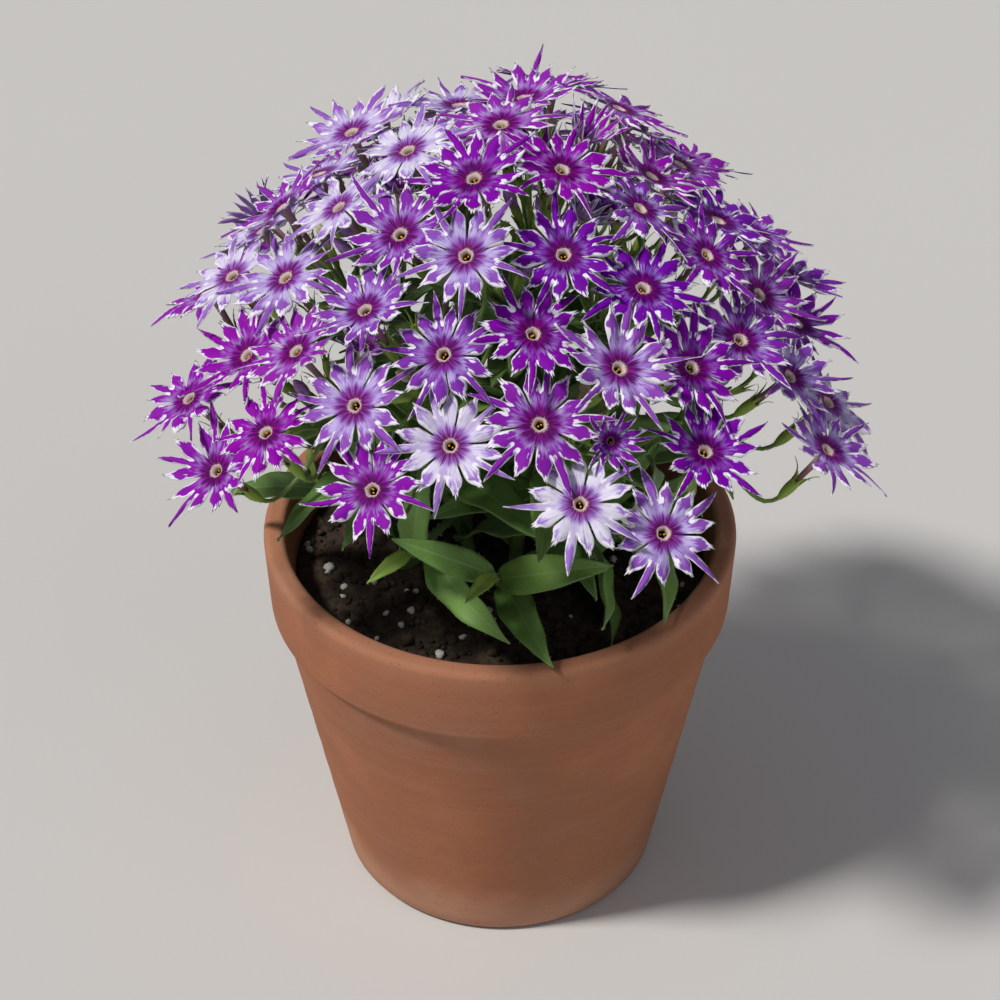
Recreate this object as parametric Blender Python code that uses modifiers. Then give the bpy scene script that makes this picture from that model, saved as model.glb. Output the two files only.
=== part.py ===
"""A star-flowered phlox in a clay pot, in metres, with the pot's foot on z = 0 and centred on the origin.

The pot is turned, and soil fills it. Five leafy stems stand in holes in the soil, fork, and carry fourteen
flower heads on a dome. Each head is a fan of stalked blooms and buds, fused at the short stalk under them.
"""

import itertools
import math
import random

import bmesh
import bpy
from mathutils import Matrix, Vector
from mathutils.bvhtree import BVHTree

MM = 0.001
UP = Vector((0, 0, 1))
FULL_TURN = 2 * math.pi
GOLDEN_ANGLE = math.pi * (3 - math.sqrt(5))
GAP = 0.3 * MM
SEED = 7

# Pot and soil
POT_HEIGHT = 115 * MM
POT_RIM_RADIUS = 65 * MM
POT_FOOT_RADIUS = 45 * MM
POT_WALL = 6 * MM
POT_FLOOR = 7 * MM
RIM_BAND = 24 * MM
RIM_STEP = 3.5 * MM
LIP_ROUND = 2 * MM
LIP_STEPS = 2
DRAIN_HOLES = 3
DRAIN_RADIUS = 5 * MM
DRAIN_CIRCLE = 24 * MM
SOIL_BELOW_RIM = 14 * MM
SOIL_MOUND = 5 * MM
SOIL_RIPPLE = 0.7 * MM
SOIL_RINGS = 6
SOIL_WAVES = 3
TURNED_STEPS = 36
CUTTER_SIDES = 10

# Dome of flower heads, measured to the middle of each head's flowers
HEADS = 14
DOME_RADIUS = 73 * MM
DOME_TOP = 242 * MM
DOME_DROP = 52 * MM
TILT_SHARE = 0.62
HEAD_DEPTH = 36 * MM
# The short stalk under a hub, as (distance above the hub, radius)
PEDUNCLE = ((1.6 * MM, 2.0 * MM), (-2 * MM, 1.8 * MM), (-6 * MM, 1.1 * MM))
HUB_RING = 1.2 * MM

# Blooms: a petal's rim as (degrees from the slit between petals, reach, share of the bloom's cup)
BLOOMS_PER_HEAD = 5
BLOOM_RING = 17 * MM
BLOOM_SPACING = 22 * MM
SPREAD_ROUNDS = 80
SPREAD_PUSH = 0.25
PETALS = 5
PETAL_RIM = (
    (0, 6.2 * MM, 0.1),
    (15, 12.4 * MM, 1.0),
    (28, 8.4 * MM, 0.4),
    (36, 17.5 * MM, 1.3),
    (44, 8.4 * MM, 0.4),
    (57, 12.4 * MM, 1.0),
)
THROAT_SINK = 1.2 * MM
LOBE_CUP = (-1.6 * MM, 2.6 * MM)
TAIL_CURL = 2.0 * MM
BLOOM_SIZE = (0.98, 1.1)
BLOOM_HEIGHTS = 3.5 * MM
BLOOM_LEAN = 0.17
LIFTS = (0, 2 * MM, -2 * MM, 4 * MM, -4 * MM, 6 * MM, -6 * MM, 8 * MM)
SPINS = 6

# Stalks, as (distance below the flower, radius)
BLOOM_STALK = ((3.1 * MM, 1.1 * MM), (13 * MM, 0.8 * MM), (16.5 * MM, 1.45 * MM), (20.5 * MM, 0.62 * MM))
BUD_STALK = ((0, 0.15 * MM), (5 * MM, 1.5 * MM), (10 * MM, 0.9 * MM), (15 * MM, 0.7 * MM))
STALK_RADIUS = 0.6 * MM
STALK_SIDES = 4
BUDS_PER_HEAD = 2
BUD_REACH = (20 * MM, 27 * MM)
BUD_LEAN = 0.5
BUD_TRIES = 16

# Stems
STEMS = 5
FIRST_SECTOR = math.radians(4)
ROOT_CIRCLE = 11 * MM
ROOT_DEPTH = 12 * MM
STEM_RADIUS = 1.9 * MM
FORK_RADIUS = 1.5 * MM
BRANCH_FOOT_RADIUS = 1.3 * MM
BRANCH_TIP_RADIUS = 1.1 * MM
FORK_RISE = 32 * MM
FORK_REACH = 0.3
STEM_SIDES = 6
STEM_POINTS = 4
BRANCH_POINTS = 5
BRANCH_PULL = 0.45
BRANCH_BOWS = (0, 3 * MM, -3 * MM, 6 * MM, -6 * MM, 9 * MM, -9 * MM)
MOST_PATHS = 12
# Side shoots, as (degrees from the stem's own direction, share of the trunk below them)
SHOOTS = ((-24, 0.38), (22, 0.78))
SHOOT_REACH = 50 * MM
SHOOT_RISE = (26 * MM, 40 * MM)
SHOOT_RADII = (1.1 * MM, 0.7 * MM)
SHOOT_POINTS = 4

# Leaves: stations along the blade as (share of the length, share of the half width)
LEAF_STATIONS = ((0.0, 0.2), (0.34, 1.0), (0.72, 0.66))
TUFT_STATIONS = ((0.0, 0.3), (0.42, 1.0))
LEAF_LENGTH = (27 * MM, 46 * MM)
LEAF_WIDTH_SHARE = 0.29
LEAF_THICKNESS = 1.3 * MM
LEAF_FOLD = 0.3
LEAF_ARCH = 0.2
LEAF_DROOP = 1.6
LEAF_EDGE_SHARE = 0.6
LEAF_STEP = 13 * MM
FIRST_LEAF = 10 * MM
LEAF_PITCH = math.radians(38)
LEAF_SCALES = (1, 0.8, 0.6)
LEAF_RAISES = (0, 14, -16)
LEAF_TURNS = (0, 20, -20, 40, -40, 60, -60, 85)
TUFT_LEAVES = 4
TUFT_LENGTH = 15 * MM
TUFT_PITCH = math.radians(55)
RIM_MARGIN = 3 * MM
TIP_MARGIN = 2 * MM

CLEARANCE = 0.45 * MM
SAMPLE_STEP = 1.5 * MM

SOIL_TOP = POT_HEIGHT - SOIL_BELOW_RIM


def clear_scene():
    for thing in list(bpy.data.objects):
        bpy.data.objects.remove(thing, do_unlink=True)


def finish_material(name, colour, roughness):
    material = bpy.data.materials.new(name)
    material.use_nodes = True
    shader = material.node_tree.nodes["Principled BSDF"]
    shader.inputs["Base Color"].default_value = (*colour, 1)
    shader.inputs["Roughness"].default_value = roughness
    shader.inputs["Metallic"].default_value = 0
    return material


def add_object(name, mesh, collection):
    thing = bpy.data.objects.new(name, mesh)
    collection.objects.link(thing)
    return thing


def evaluated_mesh(thing):
    graph = bpy.context.evaluated_depsgraph_get()
    return bpy.data.meshes.new_from_object(thing.evaluated_get(graph))


# Pot and soil

def pot_wall_radius(height):
    """The pot's outer radius below its rim band."""
    return POT_FOOT_RADIUS + (POT_RIM_RADIUS - RIM_STEP - POT_FOOT_RADIUS) * height / (POT_HEIGHT - RIM_BAND)


def pot_inner_radius(height):
    """The pot's inner radius: a straight taper from the rim to the floor."""
    share = (height - POT_FLOOR) / (POT_HEIGHT - POT_FLOOR)
    bottom = pot_wall_radius(POT_FLOOR) - POT_WALL
    return bottom + (POT_RIM_RADIUS - POT_WALL - bottom) * share


def arc(centre, radius, start, end, steps):
    """Points of an arc in the plane of a turned profile, with angles in degrees."""
    angles = [math.radians(start + (end - start) * i / steps) for i in range(steps + 1)]
    return [(centre[0] + radius * math.cos(a), centre[1] + radius * math.sin(a)) for a in angles]


def turned(name, profile, collection):
    """A solid of revolution whose profile runs from the axis, up the inside and down the outside."""
    mesh = bpy.data.meshes.new(name)
    points = [(radius, 0, height) for radius, height in profile]
    mesh.from_pydata(points, [(i, i + 1) for i in range(len(points) - 1)], [])
    thing = add_object(name, mesh, collection)
    screw = thing.modifiers.new("Turn", "SCREW")
    screw.steps = screw.render_steps = TURNED_STEPS
    screw.use_merge_vertices = True
    screw.merge_threshold = 0.00001
    return thing


def cut(thing, cutter):
    cutter.hide_render = True
    cutter.display_type = "WIRE"
    boolean = thing.modifiers.new("Cut", "BOOLEAN")
    boolean.operation = "DIFFERENCE"
    boolean.object = cutter


def cylinder(name, radius, low, high, place, collection):
    bm = bmesh.new()
    bmesh.ops.create_cone(
        bm, cap_ends=True, segments=CUTTER_SIDES, radius1=radius, radius2=radius, depth=high - low
    )
    mesh = bpy.data.meshes.new(name)
    bm.to_mesh(mesh)
    bm.free()
    thing = add_object(name, mesh, collection)
    thing.location = (place.x, place.y, (low + high) / 2)
    return thing


def build_pot(parts, cutters, clay):
    lip_height = POT_HEIGHT - LIP_ROUND
    inner_lip = (POT_RIM_RADIUS - POT_WALL + LIP_ROUND, lip_height)
    band_foot = POT_HEIGHT - RIM_BAND
    profile = [(0, POT_FLOOR), (pot_inner_radius(POT_FLOOR), POT_FLOOR)]
    profile += arc(inner_lip, LIP_ROUND, 180, 90, LIP_STEPS)
    profile += arc((POT_RIM_RADIUS - LIP_ROUND, lip_height), LIP_ROUND, 90, 0, LIP_STEPS)
    profile += arc((POT_RIM_RADIUS - 1.5 * LIP_ROUND, band_foot + LIP_ROUND), LIP_ROUND, 0, -90, LIP_STEPS)
    profile += [(pot_wall_radius(band_foot - LIP_ROUND), band_foot - LIP_ROUND)]
    profile += [(pot_wall_radius(LIP_ROUND), LIP_ROUND), (POT_FOOT_RADIUS - LIP_ROUND, 0), (0, 0)]
    pot = turned("pot", profile, parts)
    pot.data.materials.append(clay)
    for i in range(DRAIN_HOLES):
        turn = FULL_TURN * i / DRAIN_HOLES
        place = Vector((math.cos(turn), math.sin(turn), 0)) * DRAIN_CIRCLE
        cut(pot, cylinder(f"drain_cutter_{i + 1}", DRAIN_RADIUS, -POT_FLOOR, 2 * POT_FLOOR, place, cutters))


def build_soil(parts, cutters, earth, roots):
    low = POT_FLOOR + GAP
    edge = pot_inner_radius(SOIL_TOP) - GAP
    mound = []
    for i in range(SOIL_RINGS + 1):
        share = i / SOIL_RINGS
        ripple = SOIL_RIPPLE * math.sin(share * FULL_TURN * SOIL_WAVES)
        mound.append((edge * share, SOIL_TOP + SOIL_MOUND * (1 - share * share) + ripple * share))
    soil = turned("soil", [*mound, (pot_inner_radius(low) - GAP, low), (0, low)], parts)
    soil.data.materials.append(earth)
    for i, root in enumerate(roots):
        low_end = SOIL_TOP - ROOT_DEPTH
        name = f"root_cutter_{i + 1}"
        cut(soil, cylinder(name, STEM_RADIUS + GAP, low_end, POT_HEIGHT, root, cutters))


# Fine meshes of the plant

def tube(path, sides):
    """A mesh tube along (point, radius) pairs, from a curve with filled caps."""
    curve = bpy.data.curves.new("tube", "CURVE")
    curve.dimensions = "3D"
    curve.bevel_depth = MM
    curve.bevel_resolution = sides // 2 - 2
    curve.use_fill_caps = True
    spline = curve.splines.new("POLY")
    spline.points.add(len(path) - 1)
    for knot, (point, radius) in zip(spline.points, path):
        knot.co = (*point, 1)
        knot.radius = radius / MM
    thing = add_object("tube", curve, bpy.context.scene.collection)
    mesh = evaluated_mesh(thing)
    bpy.data.objects.remove(thing, do_unlink=True)
    bpy.data.curves.remove(curve)
    bm = bmesh.new()
    bm.from_mesh(mesh)
    bmesh.ops.remove_doubles(bm, verts=bm.verts, dist=0.000001)
    bmesh.ops.recalc_face_normals(bm, faces=bm.faces)
    bm.to_mesh(mesh)
    bm.free()
    return mesh


def rim_point(bloom, index, swell):
    """A point of the star's rim, from its number counted round the five petals."""
    petal, step = divmod(index, len(PETAL_RIM))
    degrees, reach, cup_share = PETAL_RIM[step]
    turn = FULL_TURN * petal / PETALS + math.radians(degrees)
    reach = reach * bloom["size"] + swell
    curl = bloom["curls"][petal] if cup_share > 1 else 0
    return Vector((reach * math.cos(turn), reach * math.sin(turn), bloom["cup"] * cup_share + curl))


def star(bloom, place, path, swell=0.0):
    """A bloom: a thin star of petals that narrows below to the stalk along a (point, radius) path."""
    points = PETALS * len(PETAL_RIM)
    bm = bmesh.new()
    bmesh.ops.create_circle(bm, cap_ends=True, cap_tris=True, segments=points, radius=1)
    middle = min(bm.verts, key=lambda vert: vert.co.length)
    rim = [vert for vert in bm.verts if vert is not middle]
    loops = [[edge for edge in bm.edges if middle not in edge.verts]]
    to_local = place.inverted()
    ways = [path[1][0] - path[0][0]] if len(path) > 1 else [-bloom["facing"]]
    ways += [end - start for (start, _), (end, _) in itertools.pairwise(path)]
    for number, ((point, radius), way) in enumerate(zip(path, ways)):
        before = set(bm.edges)
        across = way.cross(place.to_3x3().col[0]).normalized()
        turned_down = Matrix((way.cross(across).normalized(), across, way.normalized())).transposed()
        bmesh.ops.create_circle(
            bm,
            cap_ends=number == len(path) - 1,
            segments=STALK_SIDES,
            radius=radius + swell,
            matrix=to_local @ Matrix.Translation(point) @ turned_down.to_4x4(),
        )
        loops.append([edge for edge in bm.edges if edge not in before])
    for upper, lower in itertools.pairwise(loops):
        bmesh.ops.bridge_loops(bm, edges=upper + lower)
    for vert in rim:
        index = round(math.atan2(vert.co.y, vert.co.x) / FULL_TURN * points) % points
        vert.co = rim_point(bloom, index, swell)
    middle.co = Vector((0, 0, swell - THROAT_SINK))
    bmesh.ops.triangulate(bm, faces=bm.faces)
    bmesh.ops.recalc_face_normals(bm, faces=bm.faces)
    bm.transform(place)
    return bm


def blade(length, place, stations, swell=0.0):
    """A leaf along +X: a four-sided cone, flattened, folded along its midrib and arched."""
    bm = bmesh.new()
    bmesh.ops.create_cone(
        bm,
        cap_ends=True,
        segments=4,
        radius1=1,
        radius2=0,
        depth=1,
        matrix=Matrix.Translation((0, 0, 0.5)),
    )
    for share, _ in stations[1:]:
        geometry = [*bm.verts, *bm.edges, *bm.faces]
        bmesh.ops.bisect_plane(bm, geom=geometry, dist=0.0001, plane_co=(0, 0, share), plane_no=(0, 0, 1))
    for face in [face for face in bm.faces if len(face.verts) == 4]:
        start = min(face.verts, key=lambda vert: (round(vert.co.z, 3), abs(vert.co.x)))
        end = max(face.verts, key=lambda vert: (round(vert.co.z, 3), abs(vert.co.x)))
        if end.co.z > start.co.z + 0.01:
            bmesh.utils.face_split(face, start, end)
    widths = dict(stations)
    half_width = length * LEAF_WIDTH_SHARE / 2
    for vert in bm.verts:
        share = vert.co.z
        width = widths.get(round(share, 3), 0) * half_width
        size = math.hypot(vert.co.x, vert.co.y)
        across, through = (vert.co.x / size, vert.co.y / size) if size > 0.001 else (0, 0)
        side = across * (width + swell)
        arched = length * LEAF_ARCH * (share - LEAF_DROOP * share * share)
        fullness = LEAF_EDGE_SHARE + (1 - LEAF_EDGE_SHARE) * width / half_width
        thick = through * (LEAF_THICKNESS / 2 * fullness + swell)
        vert.co = Vector((share * length, side, arched + abs(side) * LEAF_FOLD + thick))
    bmesh.ops.triangulate(bm, faces=[face for face in bm.faces if len(face.verts) > 3])
    bmesh.ops.recalc_face_normals(bm, faces=bm.faces)
    bm.transform(place)
    return bm


def mesh_of(bm):
    mesh = bpy.data.meshes.new("piece")
    bm.to_mesh(mesh)
    bm.free()
    return mesh


# What is placed so far, so that new pieces keep clear of it

def samples_of(path):
    """Points along a (point, radius) path, close enough together to test the whole of it."""
    found = []
    for (start, first), (end, last) in itertools.pairwise(path):
        steps = max(1, round((end - start).length / SAMPLE_STEP))
        for i in range(steps + 1):
            share = i / steps
            found.append((start.lerp(end, share), first + (last - first) * share))
    return found


def ball_of(points):
    """A ball round some points, as its centre and radius."""
    centre = sum(points, Vector()) / len(points)
    return centre, max((point - centre).length for point in points)


class Bed:
    """The blades and rods placed so far, each under a label."""

    def __init__(self):
        self.blades = []
        self.rods = []

    def add_blade(self, label, bm):
        self.blades.append((label, BVHTree.FromBMesh(bm), *ball_of([vert.co for vert in bm.verts])))

    def add_rod(self, label, path):
        samples = samples_of(path)
        self.rods.append((label, samples, *ball_of([point for point, _ in samples])))

    def blade_is_clear(self, bm, skip=()):
        tree = BVHTree.FromBMesh(bm)
        centre, reach = ball_of([vert.co for vert in bm.verts])
        for label, other, middle, span in self.blades:
            if label not in skip and (centre - middle).length < reach + span and tree.overlap(other):
                return False
        for label, samples, middle, span in self.rods:
            if label in skip or (centre - middle).length > reach + span + CLEARANCE:
                continue
            if any(tree.find_nearest(point, radius + CLEARANCE)[0] is not None for point, radius in samples):
                return False
        return True

    def rod_is_clear(self, path, skip=()):
        samples = samples_of(path)
        centre, reach = ball_of([point for point, _ in samples])
        for label, tree, middle, span in self.blades:
            if label in skip or (centre - middle).length > reach + span + CLEARANCE:
                continue
            if any(tree.find_nearest(point, radius + CLEARANCE)[0] is not None for point, radius in samples):
                return False
        for label, others, middle, span in self.rods:
            if label in skip or (centre - middle).length > reach + span + CLEARANCE:
                continue
            for (point, radius), (other, thickness) in itertools.product(samples, others):
                if (point - other).length < radius + thickness + CLEARANCE:
                    return False
        return True


# Where everything grows

def dome_height(radius):
    return DOME_TOP - DOME_DROP * (radius / DOME_RADIUS) ** 2


def dome_facing(point):
    """The direction that flowers at this point of the dome face."""
    radius = math.hypot(point.x, point.y)
    slope = math.atan(2 * DOME_DROP * radius / DOME_RADIUS**2)
    outward = Vector((point.x, point.y, 0)).normalized()
    tilt = slope * TILT_SHARE
    return outward * math.sin(tilt) + UP * math.cos(tilt)


def plan_heads():
    """Each head's hub, where its stalks meet, and its axis, on a golden-angle spiral over the dome."""
    heads = []
    for i in range(HEADS):
        radius = DOME_RADIUS * math.sqrt((i + 0.5) / HEADS)
        turn = i * GOLDEN_ANGLE
        middle = Vector((radius * math.cos(turn), radius * math.sin(turn), dome_height(radius)))
        axis = dome_facing(middle)
        hub = middle - axis * HEAD_DEPTH
        peduncle = [(hub + axis * height, radius) for height, radius in PEDUNCLE]
        heads.append({"middle": middle, "axis": axis, "hub": hub, "peduncle": peduncle})
    return heads


def plan_seats(heads, rng):
    """Points on the dome for the blooms: a ring round each head's middle, then pushed apart until even."""
    seats = []
    for number, head in enumerate(heads):
        start = rng.uniform(0, FULL_TURN)
        for i in range(BLOOMS_PER_HEAD):
            turn = start + FULL_TURN * i / BLOOMS_PER_HEAD
            seats.append((number, head["middle"] + Vector((math.cos(turn), math.sin(turn), 0)) * BLOOM_RING))
    for _ in range(SPREAD_ROUNDS):
        for (_, first), (_, second) in itertools.combinations(seats, 2):
            apart = second - first
            missing = BLOOM_SPACING - apart.length
            if missing > 0:
                push = apart.normalized() * missing * SPREAD_PUSH
                first -= push
                second += push
        for _, seat in seats:
            seat.z = dome_height(math.hypot(seat.x, seat.y))
    return seats


def stalk_path(flower, stations, head):
    """(point, radius) pairs down a stalk: straight below the flower, then slanting in to the hub's side."""
    path = [(flower["centre"] - flower["facing"] * depth, radius) for depth, radius in stations]
    slant = path[-1][0] - head["hub"]
    side = (slant - head["axis"] * slant.dot(head["axis"])).normalized()
    return [*path, (head["hub"] + side * HUB_RING, STALK_RADIUS)]


def flower_place(flower):
    turned_up = flower["facing"].to_track_quat("Z", "Y").to_matrix().to_4x4()
    return Matrix.Translation(flower["centre"]) @ turned_up @ Matrix.Rotation(flower["spin"], 4, "Z")


def plan_blooms(heads, bed, rng):
    """Every bloom, lifted and spun until it is clear of the others. One with no clear place is left out."""
    blooms = []
    for count, (number, seat) in enumerate(plan_seats(heads, rng)):
        lean = Vector((rng.uniform(-1, 1), rng.uniform(-1, 1), 0)) * BLOOM_LEAN
        facing = (dome_facing(seat) + lean).normalized()
        bloom = {
            "head": number,
            "facing": facing,
            "size": rng.uniform(*BLOOM_SIZE),
            "cup": rng.uniform(*LOBE_CUP),
            "curls": [rng.uniform(-TAIL_CURL, TAIL_CURL) for _ in range(PETALS)],
        }
        height = rng.uniform(-BLOOM_HEIGHTS, BLOOM_HEIGHTS)
        start = rng.uniform(0, FULL_TURN)
        own = (f"limb_{count}", f"stalk_{count}")
        family = [f"stalk_{other['count']}" for other in blooms if other["head"] == number]
        for lift, step in itertools.product(LIFTS, range(SPINS)):
            bloom["centre"] = seat + facing * (height + lift)
            bloom["spin"] = start + FULL_TURN / PETALS * step / SPINS
            path = stalk_path(bloom, BLOOM_STALK, heads[number])
            probe = star(bloom, flower_place(bloom), path[:1], CLEARANCE)
            fits = bed.blade_is_clear(probe) and bed.rod_is_clear(path, family)
            probe.free()
            if fits:
                bloom["count"] = count
                bloom["path"] = path
                bed.add_rod(own[1], path)
                petals = star(bloom, flower_place(bloom), path[:1])
                bed.add_blade(own[0], petals)
                petals.free()
                bloom["mesh"] = mesh_of(star(bloom, flower_place(bloom), path))
                blooms.append(bloom)
                break
    return blooms


def plan_buds(heads, bed, rng):
    """Closed buds among each head's stalks, where there is room."""
    buds = []
    for number, head in enumerate(heads):
        found = 0
        for attempt in range(BUD_TRIES):
            lean = Vector((rng.uniform(-1, 1), rng.uniform(-1, 1), 0)) * BUD_LEAN
            facing = (head["axis"] + lean).normalized()
            bud = {"head": number, "facing": facing}
            bud["centre"] = head["hub"] + facing * rng.uniform(*BUD_REACH)
            label = f"bud_{number}_{attempt}"
            bud["path"] = stalk_path(bud, BUD_STALK, head)
            above_hub = bud["path"][:-1]
            if found < BUDS_PER_HEAD and bed.rod_is_clear(above_hub):
                bed.add_rod(label, bud["path"])
                buds.append(bud)
                found += 1
    return buds


def sector_of(point):
    turn = (math.atan2(point.y, point.x) - FIRST_SECTOR) / FULL_TURN
    return round(turn * STEMS) % STEMS


def curved(start, start_way, end, end_way, points, radii, bow=Vector()):
    """(point, radius) pairs along a smooth arc that leaves and arrives along the given directions."""
    span = (end - start).length * BRANCH_PULL
    corners = (start, start + start_way * span + bow, end - end_way * span + bow, end)
    path = []
    for i in range(points):
        t = i / (points - 1)
        weights = ((1 - t) ** 3, 3 * t * (1 - t) ** 2, 3 * t * t * (1 - t), t**3)
        point = sum((corner * weight for corner, weight in zip(corners, weights)), Vector())
        path.append((point, radii[0] + (radii[1] - radii[0]) * t))
    return path


def clear_curve(bed, skip, *route):
    """A curved path, bowed to one side as far as it must be to keep clear of what is placed."""
    side = route[1].cross(route[2] - route[0]).normalized()
    for bow in BRANCH_BOWS:
        path = curved(*route, side * bow)
        if bed.rod_is_clear(path, skip):
            return path
    return path


def plan_shoot(bed, skip, trunk, turn, share, rng):
    """A young side shoot that leaves its trunk low down, without flowers yet."""
    reach = sum((end - start).length for (start, _), (end, _) in itertools.pairwise(trunk))
    start, _ = along(trunk, reach * share)
    outward = Vector((math.cos(turn), math.sin(turn), 0))
    end = outward * SHOOT_REACH * rng.uniform(0.85, 1.1) + UP * (SOIL_TOP + rng.uniform(*SHOOT_RISE))
    start_way = (outward * 2 + UP).normalized()
    end_way = (outward + UP).normalized()
    return clear_curve(bed, skip, start, start_way, end, end_way, SHOOT_POINTS, SHOOT_RADII)


def plan_stems(heads, bed, rng):
    """Each stem's root, trunk, branches and shoots. A stem carries the heads of its sector of the dome."""
    stems = []
    for i in range(STEMS):
        turn = FIRST_SECTOR + FULL_TURN * i / STEMS
        outward = Vector((math.cos(turn), math.sin(turn), 0))
        carried = [number for number, head in enumerate(heads) if sector_of(head["middle"]) == i]
        mean = sum((heads[number]["hub"] for number in carried), Vector()) / len(carried)
        root = outward * ROOT_CIRCLE
        collar = root + UP * SOIL_TOP
        fork = Vector((root.x, root.y, SOIL_TOP + FORK_RISE))
        fork += Vector((mean.x - root.x, mean.y - root.y, 0)) * FORK_REACH
        lean = (fork - collar).normalized()
        trunk = [(root + UP * (SOIL_TOP - ROOT_DEPTH + GAP), STEM_RADIUS)]
        trunk += curved(collar + UP * SOIL_MOUND, UP, fork, lean, STEM_POINTS, (STEM_RADIUS, FORK_RADIUS))
        paths = [trunk]
        own = [f"stem_{i}_{number}" for number in range(MOST_PATHS)]
        bed.add_rod(own[0], trunk)
        for number in carried:
            head = heads[number]
            tip = head["hub"] + head["axis"] * (PEDUNCLE[-1][0] - GAP)
            way = (lean + (tip - fork).normalized()).normalized()
            radii = (BRANCH_FOOT_RADIUS, BRANCH_TIP_RADIUS)
            skip = [*own, f"peduncle_{number}"]
            route = (fork - lean * MM, way, tip, head["axis"], BRANCH_POINTS, radii)
            path = clear_curve(bed, skip, *route)
            bed.add_rod(own[len(paths)], path)
            paths.append(path)
        for swing, share in SHOOTS:
            path = plan_shoot(bed, own, trunk, turn + math.radians(swing), share, rng)
            bed.add_rod(own[len(paths)], path)
            paths.append(path)
        stems.append({"root": root, "paths": paths})
    return stems


def along(path, distance):
    """The point and direction at a distance along a (point, radius) path, or None past its end."""
    for (start, _), (end, _) in itertools.pairwise(path):
        length = (end - start).length
        if distance <= length:
            return start.lerp(end, distance / length), (end - start) / length
        distance -= length
    return None


def leaf_place(point, stem_way, outward, pitch):
    """A leaf's frame: its length along X, turned outward and up, its upper face towards the stem's tip."""
    length_way = (outward * math.cos(pitch) + stem_way * math.sin(pitch)).normalized()
    face_way = (stem_way - length_way * stem_way.dot(length_way)).normalized()
    side_way = face_way.cross(length_way)
    turned_out = Matrix((length_way, side_way, face_way)).transposed().to_4x4()
    return Matrix.Translation(point) @ turned_out


def place_leaf(bed, label, point, way, turn, length, pitch, stations=LEAF_STATIONS):
    """A leaf on a stem at a point, turned, raised or shortened until it is clear, or None."""
    side = way.orthogonal().normalized()
    for scale, raise_by, swing in itertools.product(LEAF_SCALES, LEAF_RAISES, LEAF_TURNS):
        outward = Matrix.Rotation(turn + math.radians(swing), 3, way) @ side
        place = leaf_place(point, way, outward, pitch + math.radians(raise_by))
        probe = blade(length * scale, place, stations, CLEARANCE)
        fits = bed.blade_is_clear(probe, (label,))
        fits = fits and min(vert.co.z for vert in probe.verts) > SOIL_TOP + SOIL_MOUND
        fits = fits and all(clear_of_pot(vert.co) for vert in probe.verts)
        probe.free()
        if fits:
            leaf = blade(length * scale, place, stations)
            bed.add_blade("leaf", leaf)
            return {"place": place, "length": length * scale, "mesh": mesh_of(leaf)}
    return None


def clear_of_pot(point):
    """Whether a point is above the pot, or well inside its rim."""
    above = point.z > POT_HEIGHT + RIM_MARGIN
    return above or math.hypot(point.x, point.y) < POT_RIM_RADIUS - POT_WALL - RIM_MARGIN


def plan_leaves(stems, bed, rng):
    """Leaves in pairs up each trunk, in a spiral up branches and shoots, and in a tuft at a shoot's tip."""
    for i, stem in enumerate(stems):
        stem["leaves"] = []
        first_shoot = len(stem["paths"]) - len(SHOOTS)
        for number, path in enumerate(stem["paths"]):
            label = f"stem_{i}_{number}"
            reach = sum((end - start).length for (start, _), (end, _) in itertools.pairwise(path))
            distance = ROOT_DEPTH + LEAF_STEP if number == 0 else FIRST_LEAF
            turn = rng.uniform(0, FULL_TURN)
            while distance < reach - TIP_MARGIN:
                point, way = along(path, distance)
                share = distance / reach if number else 0
                length = LEAF_LENGTH[1] + (LEAF_LENGTH[0] - LEAF_LENGTH[1]) * share
                length *= rng.uniform(0.9, 1.1)
                pitch = LEAF_PITCH * rng.uniform(0.5, 1.2)
                for side in range(2 if number == 0 else 1):
                    turned = turn + math.pi * side
                    stem["leaves"].append(place_leaf(bed, label, point, way, turned, length, pitch))
                turn += GOLDEN_ANGLE
                distance += LEAF_STEP * rng.uniform(0.85, 1.15)
            if number >= first_shoot:
                point, way = along(path, reach - MM)
                for step in range(TUFT_LEAVES):
                    turn = FULL_TURN * step / TUFT_LEAVES
                    leaf = place_leaf(bed, label, point, way, turn, TUFT_LENGTH, TUFT_PITCH, TUFT_STATIONS)
                    stem["leaves"].append(leaf)
        stem["leaves"] = [leaf for leaf in stem["leaves"] if leaf]


# Solids

def largest_body(mesh):
    """Keeps the mesh's largest connected body, so that sealed hollows are filled and scraps dropped."""
    bm = bmesh.new()
    bm.from_mesh(mesh)
    left = set(bm.verts)
    bodies = []
    while left:
        front = [left.pop()]
        body = set(front)
        while front:
            vert = front.pop()
            for edge in vert.link_edges:
                other = edge.other_vert(vert)
                if other in left:
                    left.remove(other)
                    body.add(other)
                    front.append(other)
        bodies.append(body)
    largest = max(bodies, key=len)
    spare = [vert for body in bodies if body is not largest for vert in body]
    bmesh.ops.delete(bm, geom=spare, context="VERTS")
    bm.to_mesh(mesh)
    bm.free()


def fused(name, meshes, origin, collection, material):
    """Adds one object with its origin at its root, from pieces that a Boolean union joins."""
    loose = bpy.data.collections.new("loose_pieces")
    bpy.context.scene.collection.children.link(loose)
    first = add_object(name, meshes[0], collection)
    for mesh in meshes[1:]:
        add_object("loose_piece", mesh, loose)
    union = first.modifiers.new("Fuse", "BOOLEAN")
    union.operation = "UNION"
    union.operand_type = "COLLECTION"
    union.collection = loose
    union.solver = "MANIFOLD"
    mesh = evaluated_mesh(first)
    first.modifiers.remove(union)
    for thing in list(loose.objects):
        bpy.data.objects.remove(thing, do_unlink=True)
    bpy.data.collections.remove(loose)
    largest_body(mesh)
    mesh.transform(Matrix.Translation(-origin))
    mesh.materials.clear()
    mesh.materials.append(material)
    first.data = mesh
    first.location = origin


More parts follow.
